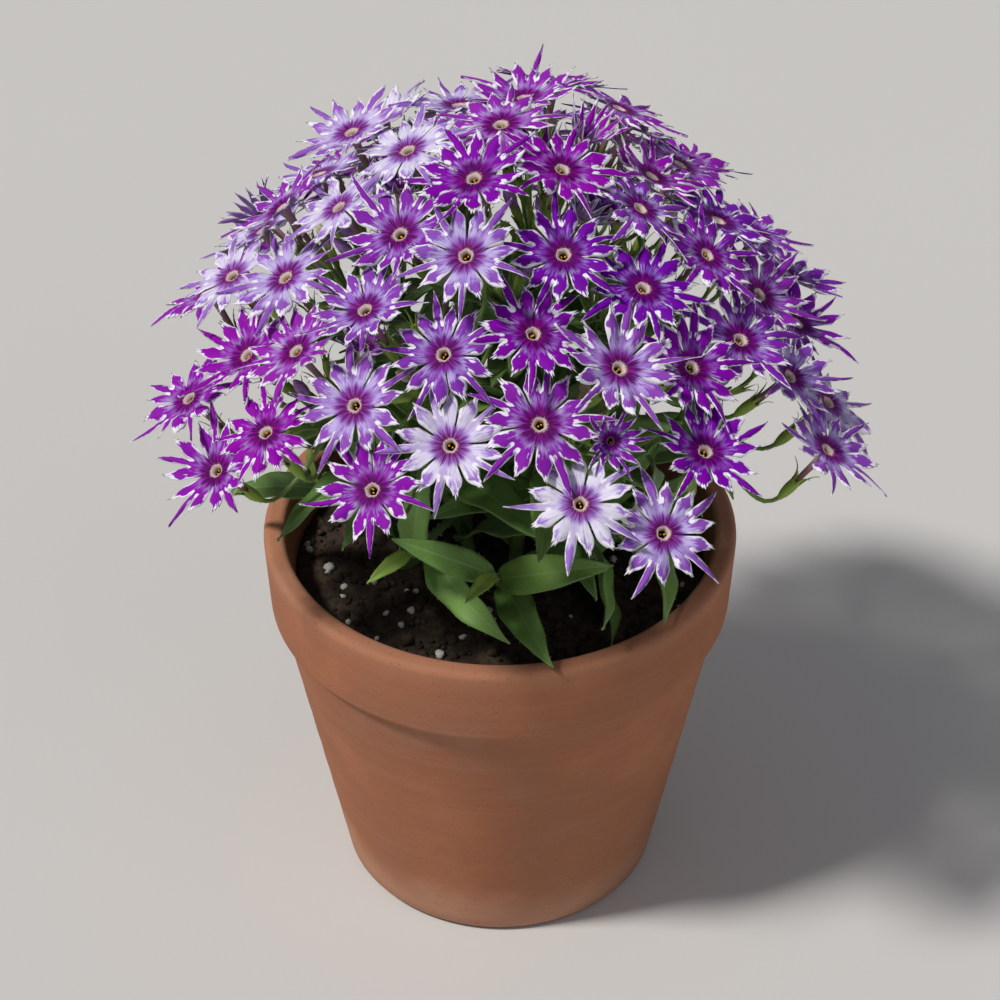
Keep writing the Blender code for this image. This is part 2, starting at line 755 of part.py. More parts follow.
def build_head(number, head, blooms, buds, parts, petal_colour):
    meshes = [tube(head["peduncle"], STEM_SIDES)]
    meshes += [bloom["mesh"] for bloom in blooms]
    meshes += [tube(bud["path"], STALK_SIDES) for bud in buds]
    fused(f"flower_head_{number + 1:02d}", meshes, head["hub"], parts, petal_colour)


def build_stem(number, stem, parts, leaf_green):
    meshes = [tube(path, STEM_SIDES) for path in stem["paths"]]
    meshes += [leaf["mesh"] for leaf in stem["leaves"]]
    fused(f"leafy_stem_{number + 1:02d}", meshes, stem["root"], parts, leaf_green)


def main():
    clear_scene()
    parts = bpy.data.collections.new("potted_phlox")
    cutters = bpy.data.collections.new("cutters")
    bpy.context.scene.collection.children.link(parts)
    bpy.context.scene.collection.children.link(cutters)
    clay = finish_material("fired_clay", (0.42, 0.17, 0.09), 0.8)
    earth = finish_material("potting_soil", (0.05, 0.03, 0.02), 0.95)
    leaf_green = finish_material("leaf_green", (0.06, 0.16, 0.03), 0.5)
    petal_colours = [
        finish_material("petal_magenta", (0.25, 0.01, 0.36), 0.45),
        finish_material("petal_lavender", (0.42, 0.3, 0.7), 0.45),
        finish_material("petal_purple", (0.12, 0.01, 0.26), 0.45),
    ]
    rng = random.Random(SEED)
    bed = Bed()
    heads = plan_heads()
    blooms = plan_blooms(heads, bed, rng)
    buds = plan_buds(heads, bed, rng)
    for number, head in enumerate(heads):
        bed.add_rod(f"peduncle_{number}", head["peduncle"])
    stems = plan_stems(heads, bed, rng)
    plan_leaves(stems, bed, rng)
    build_pot(parts, cutters, clay)
    build_soil(parts, cutters, earth, [stem["root"] for stem in stems])
    for number, stem in enumerate(stems):
        build_stem(number, stem, parts, leaf_green)
    for number, head in enumerate(heads):
        own_blooms = [bloom for bloom in blooms if bloom["head"] == number]
        own_buds = [bud for bud in buds if bud["head"] == number]
        build_head(number, head, own_blooms, own_buds, parts, petal_colours[number % len(petal_colours)])
    leaves = sum(len(stem["leaves"]) for stem in stems)
    print(f"{len(blooms)} blooms, {len(buds)} buds, {leaves} leaves")


main()
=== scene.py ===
"""The looks of a star-flowered phlox in a clay pot, in metres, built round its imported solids.

The planting plan comes first, worked out from the same named values as the solids. Every flower head, leafy
stem, the soil and the pot then get fine pieces that stand for those solids and keep their form.
"""

import itertools
import logging
import math
import random
from collections.abc import Callable, Iterable, Sequence
from dataclasses import dataclass, field
from enum import Enum, IntEnum
from functools import cache

import bmesh
import bpy
import numpy as np
from mathutils import Matrix, Vector
from mathutils.bvhtree import BVHTree

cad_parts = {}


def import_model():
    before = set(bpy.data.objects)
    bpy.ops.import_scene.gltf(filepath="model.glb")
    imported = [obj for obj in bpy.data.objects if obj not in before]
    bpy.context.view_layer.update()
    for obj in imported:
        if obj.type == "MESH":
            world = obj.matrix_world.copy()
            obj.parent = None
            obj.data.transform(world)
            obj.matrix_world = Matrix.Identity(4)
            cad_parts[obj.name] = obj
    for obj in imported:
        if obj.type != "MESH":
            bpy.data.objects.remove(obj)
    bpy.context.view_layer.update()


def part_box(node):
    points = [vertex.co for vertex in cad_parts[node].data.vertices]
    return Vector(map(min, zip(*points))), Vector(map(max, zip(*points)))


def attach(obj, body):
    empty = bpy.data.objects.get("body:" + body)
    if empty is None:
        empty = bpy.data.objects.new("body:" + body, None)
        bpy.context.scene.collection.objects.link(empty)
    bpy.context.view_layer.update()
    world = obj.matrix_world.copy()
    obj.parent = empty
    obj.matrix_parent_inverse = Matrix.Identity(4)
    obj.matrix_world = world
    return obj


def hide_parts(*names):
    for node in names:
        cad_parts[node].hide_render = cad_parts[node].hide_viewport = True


log = logging.getLogger("phlox")

MM = 0.001
UP = Vector((0, 0, 1))
FULL_TURN = 2 * math.pi
GOLDEN_ANGLE = math.pi * (3 - math.sqrt(5))
GAP = 0.3 * MM
STEM_SIDES = 12
TRUNK_RED, BRANCH_RED = 0.5, 0.1

Route = list[tuple[Vector, float]]
Colour = tuple[float, float, float]
Array = np.ndarray
Draw = np.random.Generator
BMesh = bmesh.types.BMesh
Material = bpy.types.Material
Object = bpy.types.Object


class Part(IntEnum):
    """What a point of a piece belongs to, which its finish reads."""

    FRONT = 0
    BACK = 1
    TUBE = 2
    THROAT = 3
    ANTHER = 4
    BUD = 5
    SPENT = 6


class Green(IntEnum):
    """What a point of a green piece belongs to."""

    UPPER = 0
    UNDER = 1
    STEM = 2
    CALYX = 3
    HAIR = 4


class Seed(IntEnum):
    """Where the random draws of each kind of thing start."""

    ANTHER = 5
    OPENING = 11
    SOIL = 31
    BLOOM = 100
    BUD = 400
    OPENED = 500
    HEAD = 700
    PEDUNCLE = 900
    BLOOM_CALYX = 1000
    BLOOM_STALK = 1200
    BUD_CALYX = 1400
    BUD_STALK = 1500
    BRACT = 1600
    YOUNG = 1900
    LEAF = 2000


# Shapes as arrays


@dataclass
class Form:
    """A shape held as arrays.

    Attributes:
        points: One row of three coordinates for each point.
        corners: The point numbers of all faces, one face after another.
        sizes: How many corners each face has.
        marks: Values for each point, which the finish reads.
    """

    points: Array
    corners: Array
    sizes: Array
    marks: dict[str, Array] = field(default_factory=dict)

    @classmethod
    def of(cls, bm: BMesh) -> "Form":
        """Takes the shape and the float layers of a bmesh, and frees it.

        Args:
            bm: The bmesh to read.

        Returns:
            The same shape as arrays.
        """
        layers = bm.verts.layers.float.items()
        marks = {key: np.array([vert[layer] for vert in bm.verts]) for key, layer in layers}
        bm.verts.index_update()
        points = np.array([vert.co for vert in bm.verts])
        faces = [[vert.index for vert in face.verts] for face in bm.faces]
        bm.free()
        return cls(points, np.concatenate(faces), np.array([len(face) for face in faces]), marks)

    def moved(self, points: Array) -> "Form":
        """The same faces on other points."""
        return Form(points, self.corners, self.sizes, dict(self.marks))

    def placed(self, matrix: Matrix) -> "Form":
        """The form taken to a place by a matrix."""
        turn = np.array(matrix)
        return self.moved(self.points @ turn[:3, :3].T + turn[:3, 3])

    def dressed(self, **marks: object) -> "Form":
        """Gives the form new marks in place of its own.

        Args:
            marks: A value for each mark, or one for each point. The marks lay and tone are vectors.

        Returns:
            The form with these marks, spread over all points.
        """
        count = len(self.points)
        spread = {}
        for key, value in marks.items():
            value = np.asarray(value, dtype=float)
            shape = (count, 3) if key in ("lay", "tone") else (count,)
            spread[key] = np.array(np.broadcast_to(value, shape))
        return Form(self.points, self.corners, self.sizes, spread)

    def stamped(self, places: Array) -> "Form":
        """Copies of the form at many places.

        Args:
            places: One 3 by 4 matrix for each copy.

        Returns:
            All copies as one form, with their marks repeated.
        """
        count = len(places)
        points = np.einsum("kij,nj->kni", places[:, :, :3], self.points) + places[:, None, :, 3]
        shift = np.arange(count)[:, None] * len(self.points)
        marks = {key: np.concatenate([value] * count) for key, value in self.marks.items()}
        return Form(points.reshape(-1, 3), (self.corners + shift).ravel(), np.tile(self.sizes, count), marks)


def joined(forms: Sequence[Form]) -> Form:
    """Puts forms together.

    Args:
        forms: The forms, which carry the same marks.

    Returns:
        All of them as one form.
    """
    shifts = np.cumsum([0, *[len(form.points) for form in forms]])
    return Form(
        np.concatenate([form.points for form in forms]),
        np.concatenate([form.corners + shift for form, shift in zip(forms, shifts)]),
        np.concatenate([form.sizes for form in forms]),
        {key: np.concatenate([form.marks[key] for form in forms]) for key in forms[0].marks},
    )


def stacked(*values: Array | float) -> Array:
    """Numbers side by side, one row for each point."""
    return np.stack(np.broadcast_arrays(*values), axis=1)


def made_object(name: str, form: Form, material: Material) -> Object:
    """Makes a scene object of a form, with its place in its mesh.

    Args:
        name: The object's name.
        form: Its shape and marks.
        material: Its finish.

    Returns:
        The object, smooth-shaded, at the origin.
    """
    mesh = bpy.data.meshes.new(name)
    mesh.vertices.add(len(form.points))
    mesh.vertices.foreach_set("co", form.points.astype(np.float32).ravel())
    mesh.loops.add(len(form.corners))
    mesh.loops.foreach_set("vertex_index", form.corners.astype(np.int32))
    mesh.polygons.add(len(form.sizes))
    starts = np.concatenate([[0], np.cumsum(form.sizes)[:-1]])
    mesh.polygons.foreach_set("loop_start", starts.astype(np.int32))
    mesh.polygons.foreach_set("use_smooth", np.ones(len(form.sizes), dtype=bool))
    for key, value in form.marks.items():
        flat = value.ndim == 1
        layer = mesh.attributes.new(key, "FLOAT" if flat else "FLOAT_VECTOR", "POINT")
        layer.data.foreach_set("value" if flat else "vector", value.astype(np.float32).ravel())
    mesh.update(calc_edges=True)
    mesh.validate()
    mesh.materials.append(material)
    thing = bpy.data.objects.new(name, mesh)
    bpy.context.scene.collection.objects.link(thing)
    return thing


def smooth_step(value: Array, low: float, high: float) -> Array:
    """0 below low, 1 above high, and an even rise between."""
    share = np.clip((value - low) / (high - low), 0, 1)
    return share * share * (3 - 2 * share)


def sort_faces(bm: BMesh) -> None:
    """Orders the faces by their points, because extruding leaves them in another order at each run."""
    bm.verts.index_update()
    bm.faces.sort(key=lambda face: face.verts[0].index * len(bm.verts) + face.verts[2].index)


def closed_shell(bm: BMesh) -> None:
    """Gives a flat sheet an under face and a rim.

    Args:
        bm: The sheet, which gets the layer "under": 1 on the under face's points.
    """
    under = bm.verts.layers.float.new("under")
    made = bmesh.ops.extrude_face_region(bm, geom=bm.faces[:], use_keep_orig=True)["geom"]
    lower = [item for item in made if isinstance(item, bmesh.types.BMVert)]
    for vert in lower:
        vert[under] = 1
    bmesh.ops.translate(bm, verts=lower, vec=(0, 0, -0.01))
    bmesh.ops.recalc_face_normals(bm, faces=bm.faces)
    sort_faces(bm)


@cache
def blade_sheet(columns: int, rows: int) -> Form:
    """Makes a flat closed sheet for a blade.

    Args:
        columns: Faces across.
        rows: Faces along.

    Returns:
        The sheet, with the marks under, across, from -1 to 1, and along, from 0 to 1.
    """
    bm = bmesh.new()
    across, along = bm.verts.layers.float.new("across"), bm.verts.layers.float.new("along")
    bmesh.ops.create_grid(bm, x_segments=rows, y_segments=columns, size=1)
    for vert in bm.verts:
        vert[across], vert[along] = vert.co.y, (vert.co.x + 1) / 2
    closed_shell(bm)
    return Form.of(bm)


@cache
def rod_sheet(sides: int, rows: int) -> Form:
    """Makes a straight closed rod.

    Args:
        sides: Faces round it.
        rows: Faces along it.

    Returns:
        The rod, with the marks round, from 0 to 1, and row, its station's number.
    """
    bm = bmesh.new()
    round_layer, row_layer = bm.verts.layers.float.new("round"), bm.verts.layers.float.new("row")
    bmesh.ops.create_grid(bm, x_segments=sides, y_segments=rows, size=1)
    for vert in bm.verts:
        share = (vert.co.x + 1) / 2
        vert[round_layer], vert[row_layer] = share % 1, round((vert.co.y + 1) / 2 * rows)
        angle = share * FULL_TURN
        vert.co = Vector((math.cos(angle), math.sin(angle), vert.co.y))
    bmesh.ops.remove_doubles(bm, verts=bm.verts, dist=0.0001)
    bmesh.ops.holes_fill(bm, edges=bm.edges, sides=sides)
    bmesh.ops.recalc_face_normals(bm, faces=bm.faces)
    return Form.of(bm)


@cache
def turned(profile: tuple[tuple[float, float], ...], steps: int) -> Form:
    """Turns a solid about Z.

    Args:
        profile: Points as (radius, height), in order from the axis to the axis.
        steps: Faces round the solid.

    Returns:
        The closed form, with the profile point's number as the mark station.
    """
    bm = bmesh.new()
    station = bm.verts.layers.float.new("station")
    verts = []
    for number, (radius, height) in enumerate(profile):
        verts.append(bm.verts.new((radius, 0, height)))
        verts[-1][station] = number
    edges = [bm.edges.new(pair) for pair in itertools.pairwise(verts)]
    bmesh.ops.spin(
        bm, geom=verts + edges, cent=(0, 0, 0), axis=(0, 0, 1), angle=FULL_TURN, steps=steps, use_merge=True
    )
    bmesh.ops.remove_doubles(bm, verts=bm.verts, dist=0.000001)
    bmesh.ops.recalc_face_normals(bm, faces=bm.faces)
    sort_faces(bm)
    return Form.of(bm)


def lumps(rng: Draw, count: int, subdivisions: int, roughness: float) -> list[Form]:
    """Makes uneven grains of unit size, for crumbs and anthers.

    Args:
        rng: The draw of their shapes.
        count: How many there are.
        subdivisions: How fine each is.
        roughness: How uneven each is.

    Returns:
        The grains.
    """
    made = []
    for _ in range(count):
        bm = bmesh.new()
        bmesh.ops.create_icosphere(bm, subdivisions=subdivisions, radius=1)
        form = Form.of(bm)
        swell = 1 + rng.uniform(-roughness, roughness, len(form.points))
        made.append(form.moved(form.points * swell[:, None] * rng.uniform(0.7, 1.2, 3)))
    return made


def shelled(sheet: Form, surface: Callable[[Array, Array], Array], thickness: float) -> Form:
    """Bends a closed sheet onto a surface and gives it its thickness.

    Args:
        sheet: A form with the marks across, along and under.
        surface: Gives the upper face's points from across and along.
        thickness: How far the under face lies below the upper one.

    Returns:
        The bent form.
    """
    across, along = sheet.marks["across"], sheet.marks["along"]
    step = 0.01
    inward = np.where(across > 0, -step, step)
    back = np.where(along > step, -step, step)
    top = surface(across, along)
    side_way = (surface(across + inward, along) - top) / inward[:, None]
    long_way = (surface(across, along + back) - top) / back[:, None]
    normal = np.cross(long_way, side_way)
    length = np.linalg.norm(normal, axis=1, keepdims=True)
    normal = np.where(length > 1e-14, normal / np.maximum(length, 1e-14), (0, 0, 1))
    return sheet.moved(top + normal * (0.5 - sheet.marks["under"])[:, None] * thickness)


def smoothed(route: Route, spacing: float) -> tuple[Array, Array]:
    """Points and radii along a smooth curve through a route's own points.

    Args:
        route: (point, radius) pairs.
        spacing: The distance between the new points.

    Returns:
        The new points, and the radius at each.
    """
    points = np.array([point[:] for point, _ in route])
    radii = np.array([radius for _, radius in route])
    before = np.vstack([2 * points[0] - points[1], points[:-1]])
    after = np.vstack([points[1:], 2 * points[-1] - points[-2]])
    slopes = (after - before) / 2
    found, widths = [points[0]], [radii[0]]
    for i in range(len(points) - 1):
        steps = max(1, round(np.linalg.norm(points[i + 1] - points[i]) / spacing))
        for t in np.arange(1, steps + 1) / steps:
            h = (2 * t**3 - 3 * t**2 + 1, t**3 - 2 * t**2 + t, 3 * t**2 - 2 * t**3, t**3 - t**2)
            found.append(h[0] * points[i] + h[1] * slopes[i] + h[2] * points[i + 1] + h[3] * slopes[i + 1])
            widths.append(radii[i] + (radii[i + 1] - radii[i]) * t)
    return np.array(found), np.array(widths)


def frames_along(points: Array) -> tuple[Array, Array, Array]:
    """Works out how a curve runs.

    Args:
        points: Points along the curve.

    Returns:
        Its direction at each point, and two directions across it that don't twist.
    """
    ways = np.gradient(points, axis=0)
    ways /= np.linalg.norm(ways, axis=1, keepdims=True)
    side = np.array(Vector(ways[0]).orthogonal().normalized())
    sides = []
    for way in ways:
        side = side - way * (side @ way)
        side = side / np.linalg.norm(side)
        sides.append(side)
    sides = np.array(sides)
    return ways, sides, np.cross(ways, sides)


def rod(points: Array, radii: Array, sides: int) -> Form:
    """Makes a rod along a curve.

    Args:
        points: Points along the curve.
        radii: The radius at each.
        sides: Faces round the rod.

    Returns:
        The closed form, with the marks round and row.
    """
    sheet = rod_sheet(sides, len(points) - 1)
    _, first, second = frames_along(points)
    row = sheet.marks["row"].astype(int)
    angle = sheet.marks["round"] * FULL_TURN
    out = first[row] * np.cos(angle)[:, None] + second[row] * np.sin(angle)[:, None]
    return sheet.moved(points[row] + out * radii[row][:, None])


def cone(sides: int) -> BMesh:
    """A cone of unit radius and height, from the origin up to its tip.

    Args:
        sides: How many faces it has round it.

    Returns:
        A new bmesh.
    """
    bm = bmesh.new()
    middle = Matrix.Translation((0, 0, 0.5))
    bmesh.ops.create_cone(bm, cap_ends=True, segments=sides, radius1=1, radius2=0, depth=1, matrix=middle)
    return bm


@cache
def hair_form() -> Form:
    """One hair of unit length and radius along Z."""
    return Form.of(cone(3))


def hairs(roots: Array, ways: Array, lengths: Array, radius: float) -> Form:
    """Hairs that stand on given roots.

    Args:
        roots: Where each hair starts.
        ways: Each hair's direction.
        lengths: Each hair's length.
        radius: The radius at every root.

    Returns:
        All hairs as one form.
    """
    ways = ways / np.linalg.norm(ways, axis=1, keepdims=True)
    helper = np.where(np.abs(ways[:, 2:3]) < 0.8, (0.0, 0.0, 1.0), (1.0, 0.0, 0.0))
    first = np.cross(ways, helper)
    first /= np.linalg.norm(first, axis=1, keepdims=True)
    second = np.cross(ways, first)
    places = np.stack([first * radius, second * radius, ways * lengths[:, None], roots], axis=2)
    return hair_form().stamped(places)


def hairs_on(form: Form, rng: Draw, count: int, length: float, radius: float) -> Form:
    """Hairs spread at random over a form's faces.

    Args:
        form: What the hairs grow on.
        rng: The draw of places and lengths.
        count: How many hairs there are.
        length: Their mean length.
        radius: Their radius at the root.

    Returns:
        All hairs as one form.
    """
    starts = np.concatenate([[0], np.cumsum(form.sizes)[:-1]])
    first, second, third = (form.points[form.corners[starts + i]] for i in range(3))
    normals = np.cross(second - first, third - first)
    areas = np.linalg.norm(normals, axis=1)
    chosen = rng.choice(len(areas), count, p=areas / areas.sum())
    weights = rng.dirichlet((1, 1, 1), count)
    roots = sum(weights[:, i : i + 1] * corner[chosen] for i, corner in enumerate((first, second, third)))
    ways = normals[chosen] / areas[chosen][:, None] + rng.normal(0, 0.25, (count, 3))
    return hairs(roots, ways, length * rng.uniform(0.6, 1.3, count), radius)


# The planting plan


@dataclass
class Head:
    """A flower head: the middle of its flowers, its axis, its hub and the short stalk under the hub."""

    middle: Vector
    axis: Vector
    hub: Vector
    peduncle: Route


@dataclass
class Flower:
    """A bloom or a bud on its stalk."""

    head: int
    facing: Vector
    size: float = 1.0
    cup: float = 0.0
    curls: list[float] = field(default_factory=list)
    centre: Vector = field(default_factory=Vector)
    spin: float = 0.0
    count: int = 0
    path: Route = field(default_factory=list)

    def place(self) -> Matrix:
        """The flower's frame: its face along Z, its centre at the middle of its petals."""
        turned_up = self.facing.to_track_quat("Z", "Y").to_matrix().to_4x4()
        return Matrix.Translation(self.centre) @ turned_up @ Matrix.Rotation(self.spin, 4, "Z")


@dataclass
class Leaf:
    """A leaf's frame, its length, and whether it is one of a tuft at a shoot's tip."""

    place: Matrix
    length: float
    tuft: bool


@dataclass
class Stem:
    """A stem's trunk, branches and shoots, as routes, and its leaves."""

    paths: list[Route]
    leaves: list[Leaf] = field(default_factory=list)


def ball_of(points: list[Vector]) -> tuple[Vector, float]:
    """A ball round some points, as its centre and radius."""
    centre = sum(points, Vector()) / len(points)
    return centre, max((point - centre).length for point in points)


class Bed:
    """The blades and rods placed so far, each under a label, so that new ones keep clear of them."""

    clearance = 0.45 * MM
    sample_step = 1.5 * MM

    def __init__(self) -> None:
        """Starts with nothing placed."""
        self.blades: list[tuple] = []
        self.rods: list[tuple] = []

    def samples_of(self, path: Route) -> Route:
        """Fills a route with points close enough together to test the whole of it.

        Args:
            path: The route.

        Returns:
            The finer route.
        """
        found = []
        for (start, first), (end, last) in itertools.pairwise(path):
            steps = max(1, round((end - start).length / self.sample_step))
            shares = [i / steps for i in range(steps + 1)]
            found += [(start.lerp(end, share), first + (last - first) * share) for share in shares]
        return found

    def add_blade(self, label: str, bm: BMesh) -> None:
        """Places a blade."""
        self.blades.append((label, BVHTree.FromBMesh(bm), *ball_of([vert.co for vert in bm.verts])))

    def add_rod(self, label: str, path: Route) -> None:
        """Places a rod."""
        samples = self.samples_of(path)
        self.rods.append((label, samples, *ball_of([point for point, _ in samples])))

    def near(self, placed: list[tuple], points: list[Vector], skip: Iterable[str]) -> list:
        """Picks what is placed close enough to some points to need a test.

        Args:
            placed: The blades or the rods.
            points: The points.
            skip: The labels that don't matter.

        Returns:
            The trees or the samples.
        """
        centre, reach = ball_of(points)
        reach += self.clearance
        return [
            thing
            for label, thing, middle, span in placed
            if label not in skip and (centre - middle).length <= reach + span
        ]

    def misses(self, tree: BVHTree, samples: Route) -> bool:
        """Whether a blade keeps clear of a rod's samples."""
        return all(tree.find_nearest(point, radius + self.clearance)[0] is None for point, radius in samples)

    def apart(self, samples: Route, others: Route) -> bool:
        """Whether two rods' samples keep clear of each other."""
        pairs = itertools.product(samples, others)
        return all((a - b).length >= radius + other + self.clearance for (a, radius), (b, other) in pairs)

    def blade_is_clear(self, bm: BMesh, skip: Iterable[str] = ()) -> bool:
        """Tests a blade against all that is placed.

        Args:
            bm: The blade.
            skip: The labels that it may touch.

        Returns:
            Whether it keeps clear of the rest.
        """
        tree = BVHTree.FromBMesh(bm)
        points = [vert.co for vert in bm.verts]
        crossed = any(tree.overlap(other) for other in self.near(self.blades, points, skip))
        rods = self.near(self.rods, points, skip)
        return not crossed and all(self.misses(tree, samples) for samples in rods)

    def rod_is_clear(self, path: Route, skip: Iterable[str] = ()) -> bool:
        """Tests a rod against all that is placed.

        Args:
            path: The rod's route.
            skip: The labels that it may touch.

        Returns:
            Whether it keeps clear of the rest.
        """
        samples = self.samples_of(path)
        points = [point for point, _ in samples]
        clear = all(self.misses(tree, samples) for tree in self.near(self.blades, points, skip))
        return clear and all(self.apart(samples, others) for others in self.near(self.rods, points, skip))


@dataclass
class PlantingPlan:
    """Where every head, bloom, bud, stem and leaf of the plant is, in the order that they are placed in."""

    seed: int = 7
    soil_top: float = 101 * MM
    soil_mound: float = 5 * MM
    pot_height: float = 115 * MM
    pot_inside: float = 59 * MM
    head_count: int = 14
    dome_radius: float = 73 * MM
    dome_top: float = 242 * MM
    dome_drop: float = 52 * MM
    tilt_share: float = 0.62
    head_depth: float = 36 * MM
    peduncle: tuple = ((1.6 * MM, 2.0 * MM), (-2 * MM, 1.8 * MM), (-6 * MM, 1.1 * MM))
    hub_ring: float = 1.2 * MM
    blooms_per_head: int = 5
    bloom_ring: float = 17 * MM
    bloom_spacing: float = 22 * MM
    spread_rounds: int = 80
    spread_push: float = 0.25
    petals: int = 5
    petal_rim: tuple = (
        (0, 6.2 * MM, 0.1),
        (15, 12.4 * MM, 1.0),
        (28, 8.4 * MM, 0.4),
        (36, 17.5 * MM, 1.3),
        (44, 8.4 * MM, 0.4),
        (57, 12.4 * MM, 1.0),
    )
    throat_sink: float = 1.2 * MM
    lobe_cup: tuple = (-1.6 * MM, 2.6 * MM)
    tail_curl: float = 2.0 * MM
    bloom_size: tuple = (0.98, 1.1)
    bloom_heights: float = 3.5 * MM
    bloom_lean: float = 0.17
    lifts: tuple = (0, 2 * MM, -2 * MM, 4 * MM, -4 * MM, 6 * MM, -6 * MM, 8 * MM)
    spins: int = 6
    bloom_stalk: tuple = (
        (3.1 * MM, 1.1 * MM),
        (13 * MM, 0.8 * MM),
        (16.5 * MM, 1.45 * MM),
        (20.5 * MM, 0.62 * MM),
    )
    bud_stalk: tuple = ((0, 0.15 * MM), (5 * MM, 1.5 * MM), (10 * MM, 0.9 * MM), (15 * MM, 0.7 * MM))
    stalk_radius: float = 0.6 * MM
    stalk_sides: int = 4
    buds_per_head: int = 2
    bud_reach: tuple = (20 * MM, 27 * MM)
    bud_lean: float = 0.5
    bud_tries: int = 16
    stem_count: int = 5
    first_sector: float = math.radians(4)
    root_circle: float = 11 * MM
    root_depth: float = 12 * MM
    stem_radius: float = 1.9 * MM
    fork_radius: float = 1.5 * MM
    branch_radii: tuple = (1.3 * MM, 1.1 * MM)
    fork_rise: float = 32 * MM
    fork_reach: float = 0.3
    stem_points: int = 4
    branch_points: int = 5
    branch_pull: float = 0.45
    branch_bows: tuple = (0, 3 * MM, -3 * MM, 6 * MM, -6 * MM, 9 * MM, -9 * MM)
    most_paths: int = 12
    shoots: tuple = ((-24, 0.38), (22, 0.78))
    shoot_reach: float = 50 * MM
    shoot_rise: tuple = (26 * MM, 40 * MM)
    shoot_radii: tuple = (1.1 * MM, 0.7 * MM)
    shoot_points: int = 4
    leaf_stations: tuple = ((0.0, 0.2), (0.34, 1.0), (0.72, 0.66))
    tuft_stations: tuple = ((0.0, 0.3), (0.42, 1.0))
    leaf_length: tuple = (27 * MM, 46 * MM)
    leaf_width_share: float = 0.29
    leaf_thickness: float = 1.3 * MM
    leaf_fold: float = 0.3
    leaf_arch: float = 0.2
    leaf_droop: float = 1.6
    leaf_edge_share: float = 0.6
    leaf_step: float = 13 * MM
    first_leaf: float = 10 * MM
    leaf_pitch: float = math.radians(38)
    leaf_scales: tuple = (1, 0.8, 0.6)
    leaf_raises: tuple = (0, 14, -16)
    leaf_turns: tuple = (0, 20, -20, 40, -40, 60, -60, 85)
    tuft_leaves: int = 4
    tuft_length: float = 15 * MM
    tuft_pitch: float = math.radians(55)
    rim_margin: float = 3 * MM
    tip_margin: float = 2 * MM

    def __post_init__(self) -> None:
        """Works the whole plan out, in the same order of random draws as the solids."""
        self.rng = random.Random(self.seed)
        self.bed = Bed()
        self.heads = self.plan_heads()
        self.blooms = self.plan_blooms()
        self.buds = self.plan_buds()
        for number, head in enumerate(self.heads):
            self.bed.add_rod(f"peduncle_{number}", head.peduncle)
        self.stems = self.plan_stems()
        self.plan_leaves()

    def dome_height(self, radius: float) -> float:
        """The height of the dome of flowers at a distance from its axis."""
        return self.dome_top - self.dome_drop * (radius / self.dome_radius) ** 2

    def dome_facing(self, point: Vector) -> Vector:
        """Works out where flowers face.

        Args:
            point: A point of the dome.

        Returns:
            The direction that flowers there face.
        """
        radius = math.hypot(point.x, point.y)
        slope = math.atan(2 * self.dome_drop * radius / self.dome_radius**2)
        outward = Vector((point.x, point.y, 0)).normalized()
        tilt = slope * self.tilt_share
        return outward * math.sin(tilt) + UP * math.cos(tilt)

    def plan_heads(self) -> list[Head]:
        """Sets the heads on a golden-angle spiral over the dome.

        Returns:
            The heads.
        """
        heads = []
        for i in range(self.head_count):
            radius = self.dome_radius * math.sqrt((i + 0.5) / self.head_count)
            turn = i * GOLDEN_ANGLE
            middle = Vector((radius * math.cos(turn), radius * math.sin(turn), self.dome_height(radius)))
            axis = self.dome_facing(middle)
            hub = middle - axis * self.head_depth
            peduncle = [(hub + axis * height, radius) for height, radius in self.peduncle]
            heads.append(Head(middle, axis, hub, peduncle))
        return heads

    def plan_seats(self) -> list[tuple[int, Vector]]:
        """Seats the blooms on the dome: in a ring round each head's middle, then pushed apart until even.

        Returns:
            Each bloom's head and seat.
        """
        seats = []
        for number, head in enumerate(self.heads):
            start = self.rng.uniform(0, FULL_TURN)
            for i in range(self.blooms_per_head):
                turn = start + FULL_TURN * i / self.blooms_per_head
                outward = Vector((math.cos(turn), math.sin(turn), 0))
                seats.append((number, head.middle + outward * self.bloom_ring))
        for _ in range(self.spread_rounds):
            for (_, first), (_, second) in itertools.combinations(seats, 2):
                apart = second - first
                missing = self.bloom_spacing - apart.length
                if missing > 0:
                    push = apart.normalized() * missing * self.spread_push
                    first -= push
                    second += push
            for _, seat in seats:
                seat.z = self.dome_height(math.hypot(seat.x, seat.y))
        return seats

    def stalk_path(self, flower: Flower, stations: tuple, head: Head) -> Route:
        """Leads a stalk straight down from its flower, then slanting in to the hub's side.

        Args:
            flower: The bloom or bud.
            stations: Depths below the flower, and the radius at each.
            head: The head that carries it.

        Returns:
            The stalk's route.
        """
        path = [(flower.centre - flower.facing * depth, radius) for depth, radius in stations]
        slant = path[-1][0] - head.hub
        side = (slant - head.axis * slant.dot(head.axis)).normalized()
        return [*path, (head.hub + side * self.hub_ring, self.stalk_radius)]

    def rim_point(self, bloom: Flower, index: int, swell: float) -> Vector:
        """Finds a point of the plain star's rim.

        Args:
            bloom: The bloom.
            index: The point's number, counted round the petals.
            swell: How far the star is swollen.

        Returns:
            The point in the bloom's frame.
        """
        petal, step = divmod(index, len(self.petal_rim))
        degrees, reach, cup_share = self.petal_rim[step]
        turn = FULL_TURN * petal / self.petals + math.radians(degrees)
        reach = reach * bloom.size + swell
        curl = bloom.curls[petal] if cup_share > 1 else 0
        return Vector((reach * math.cos(turn), reach * math.sin(turn), bloom.cup * cup_share + curl))

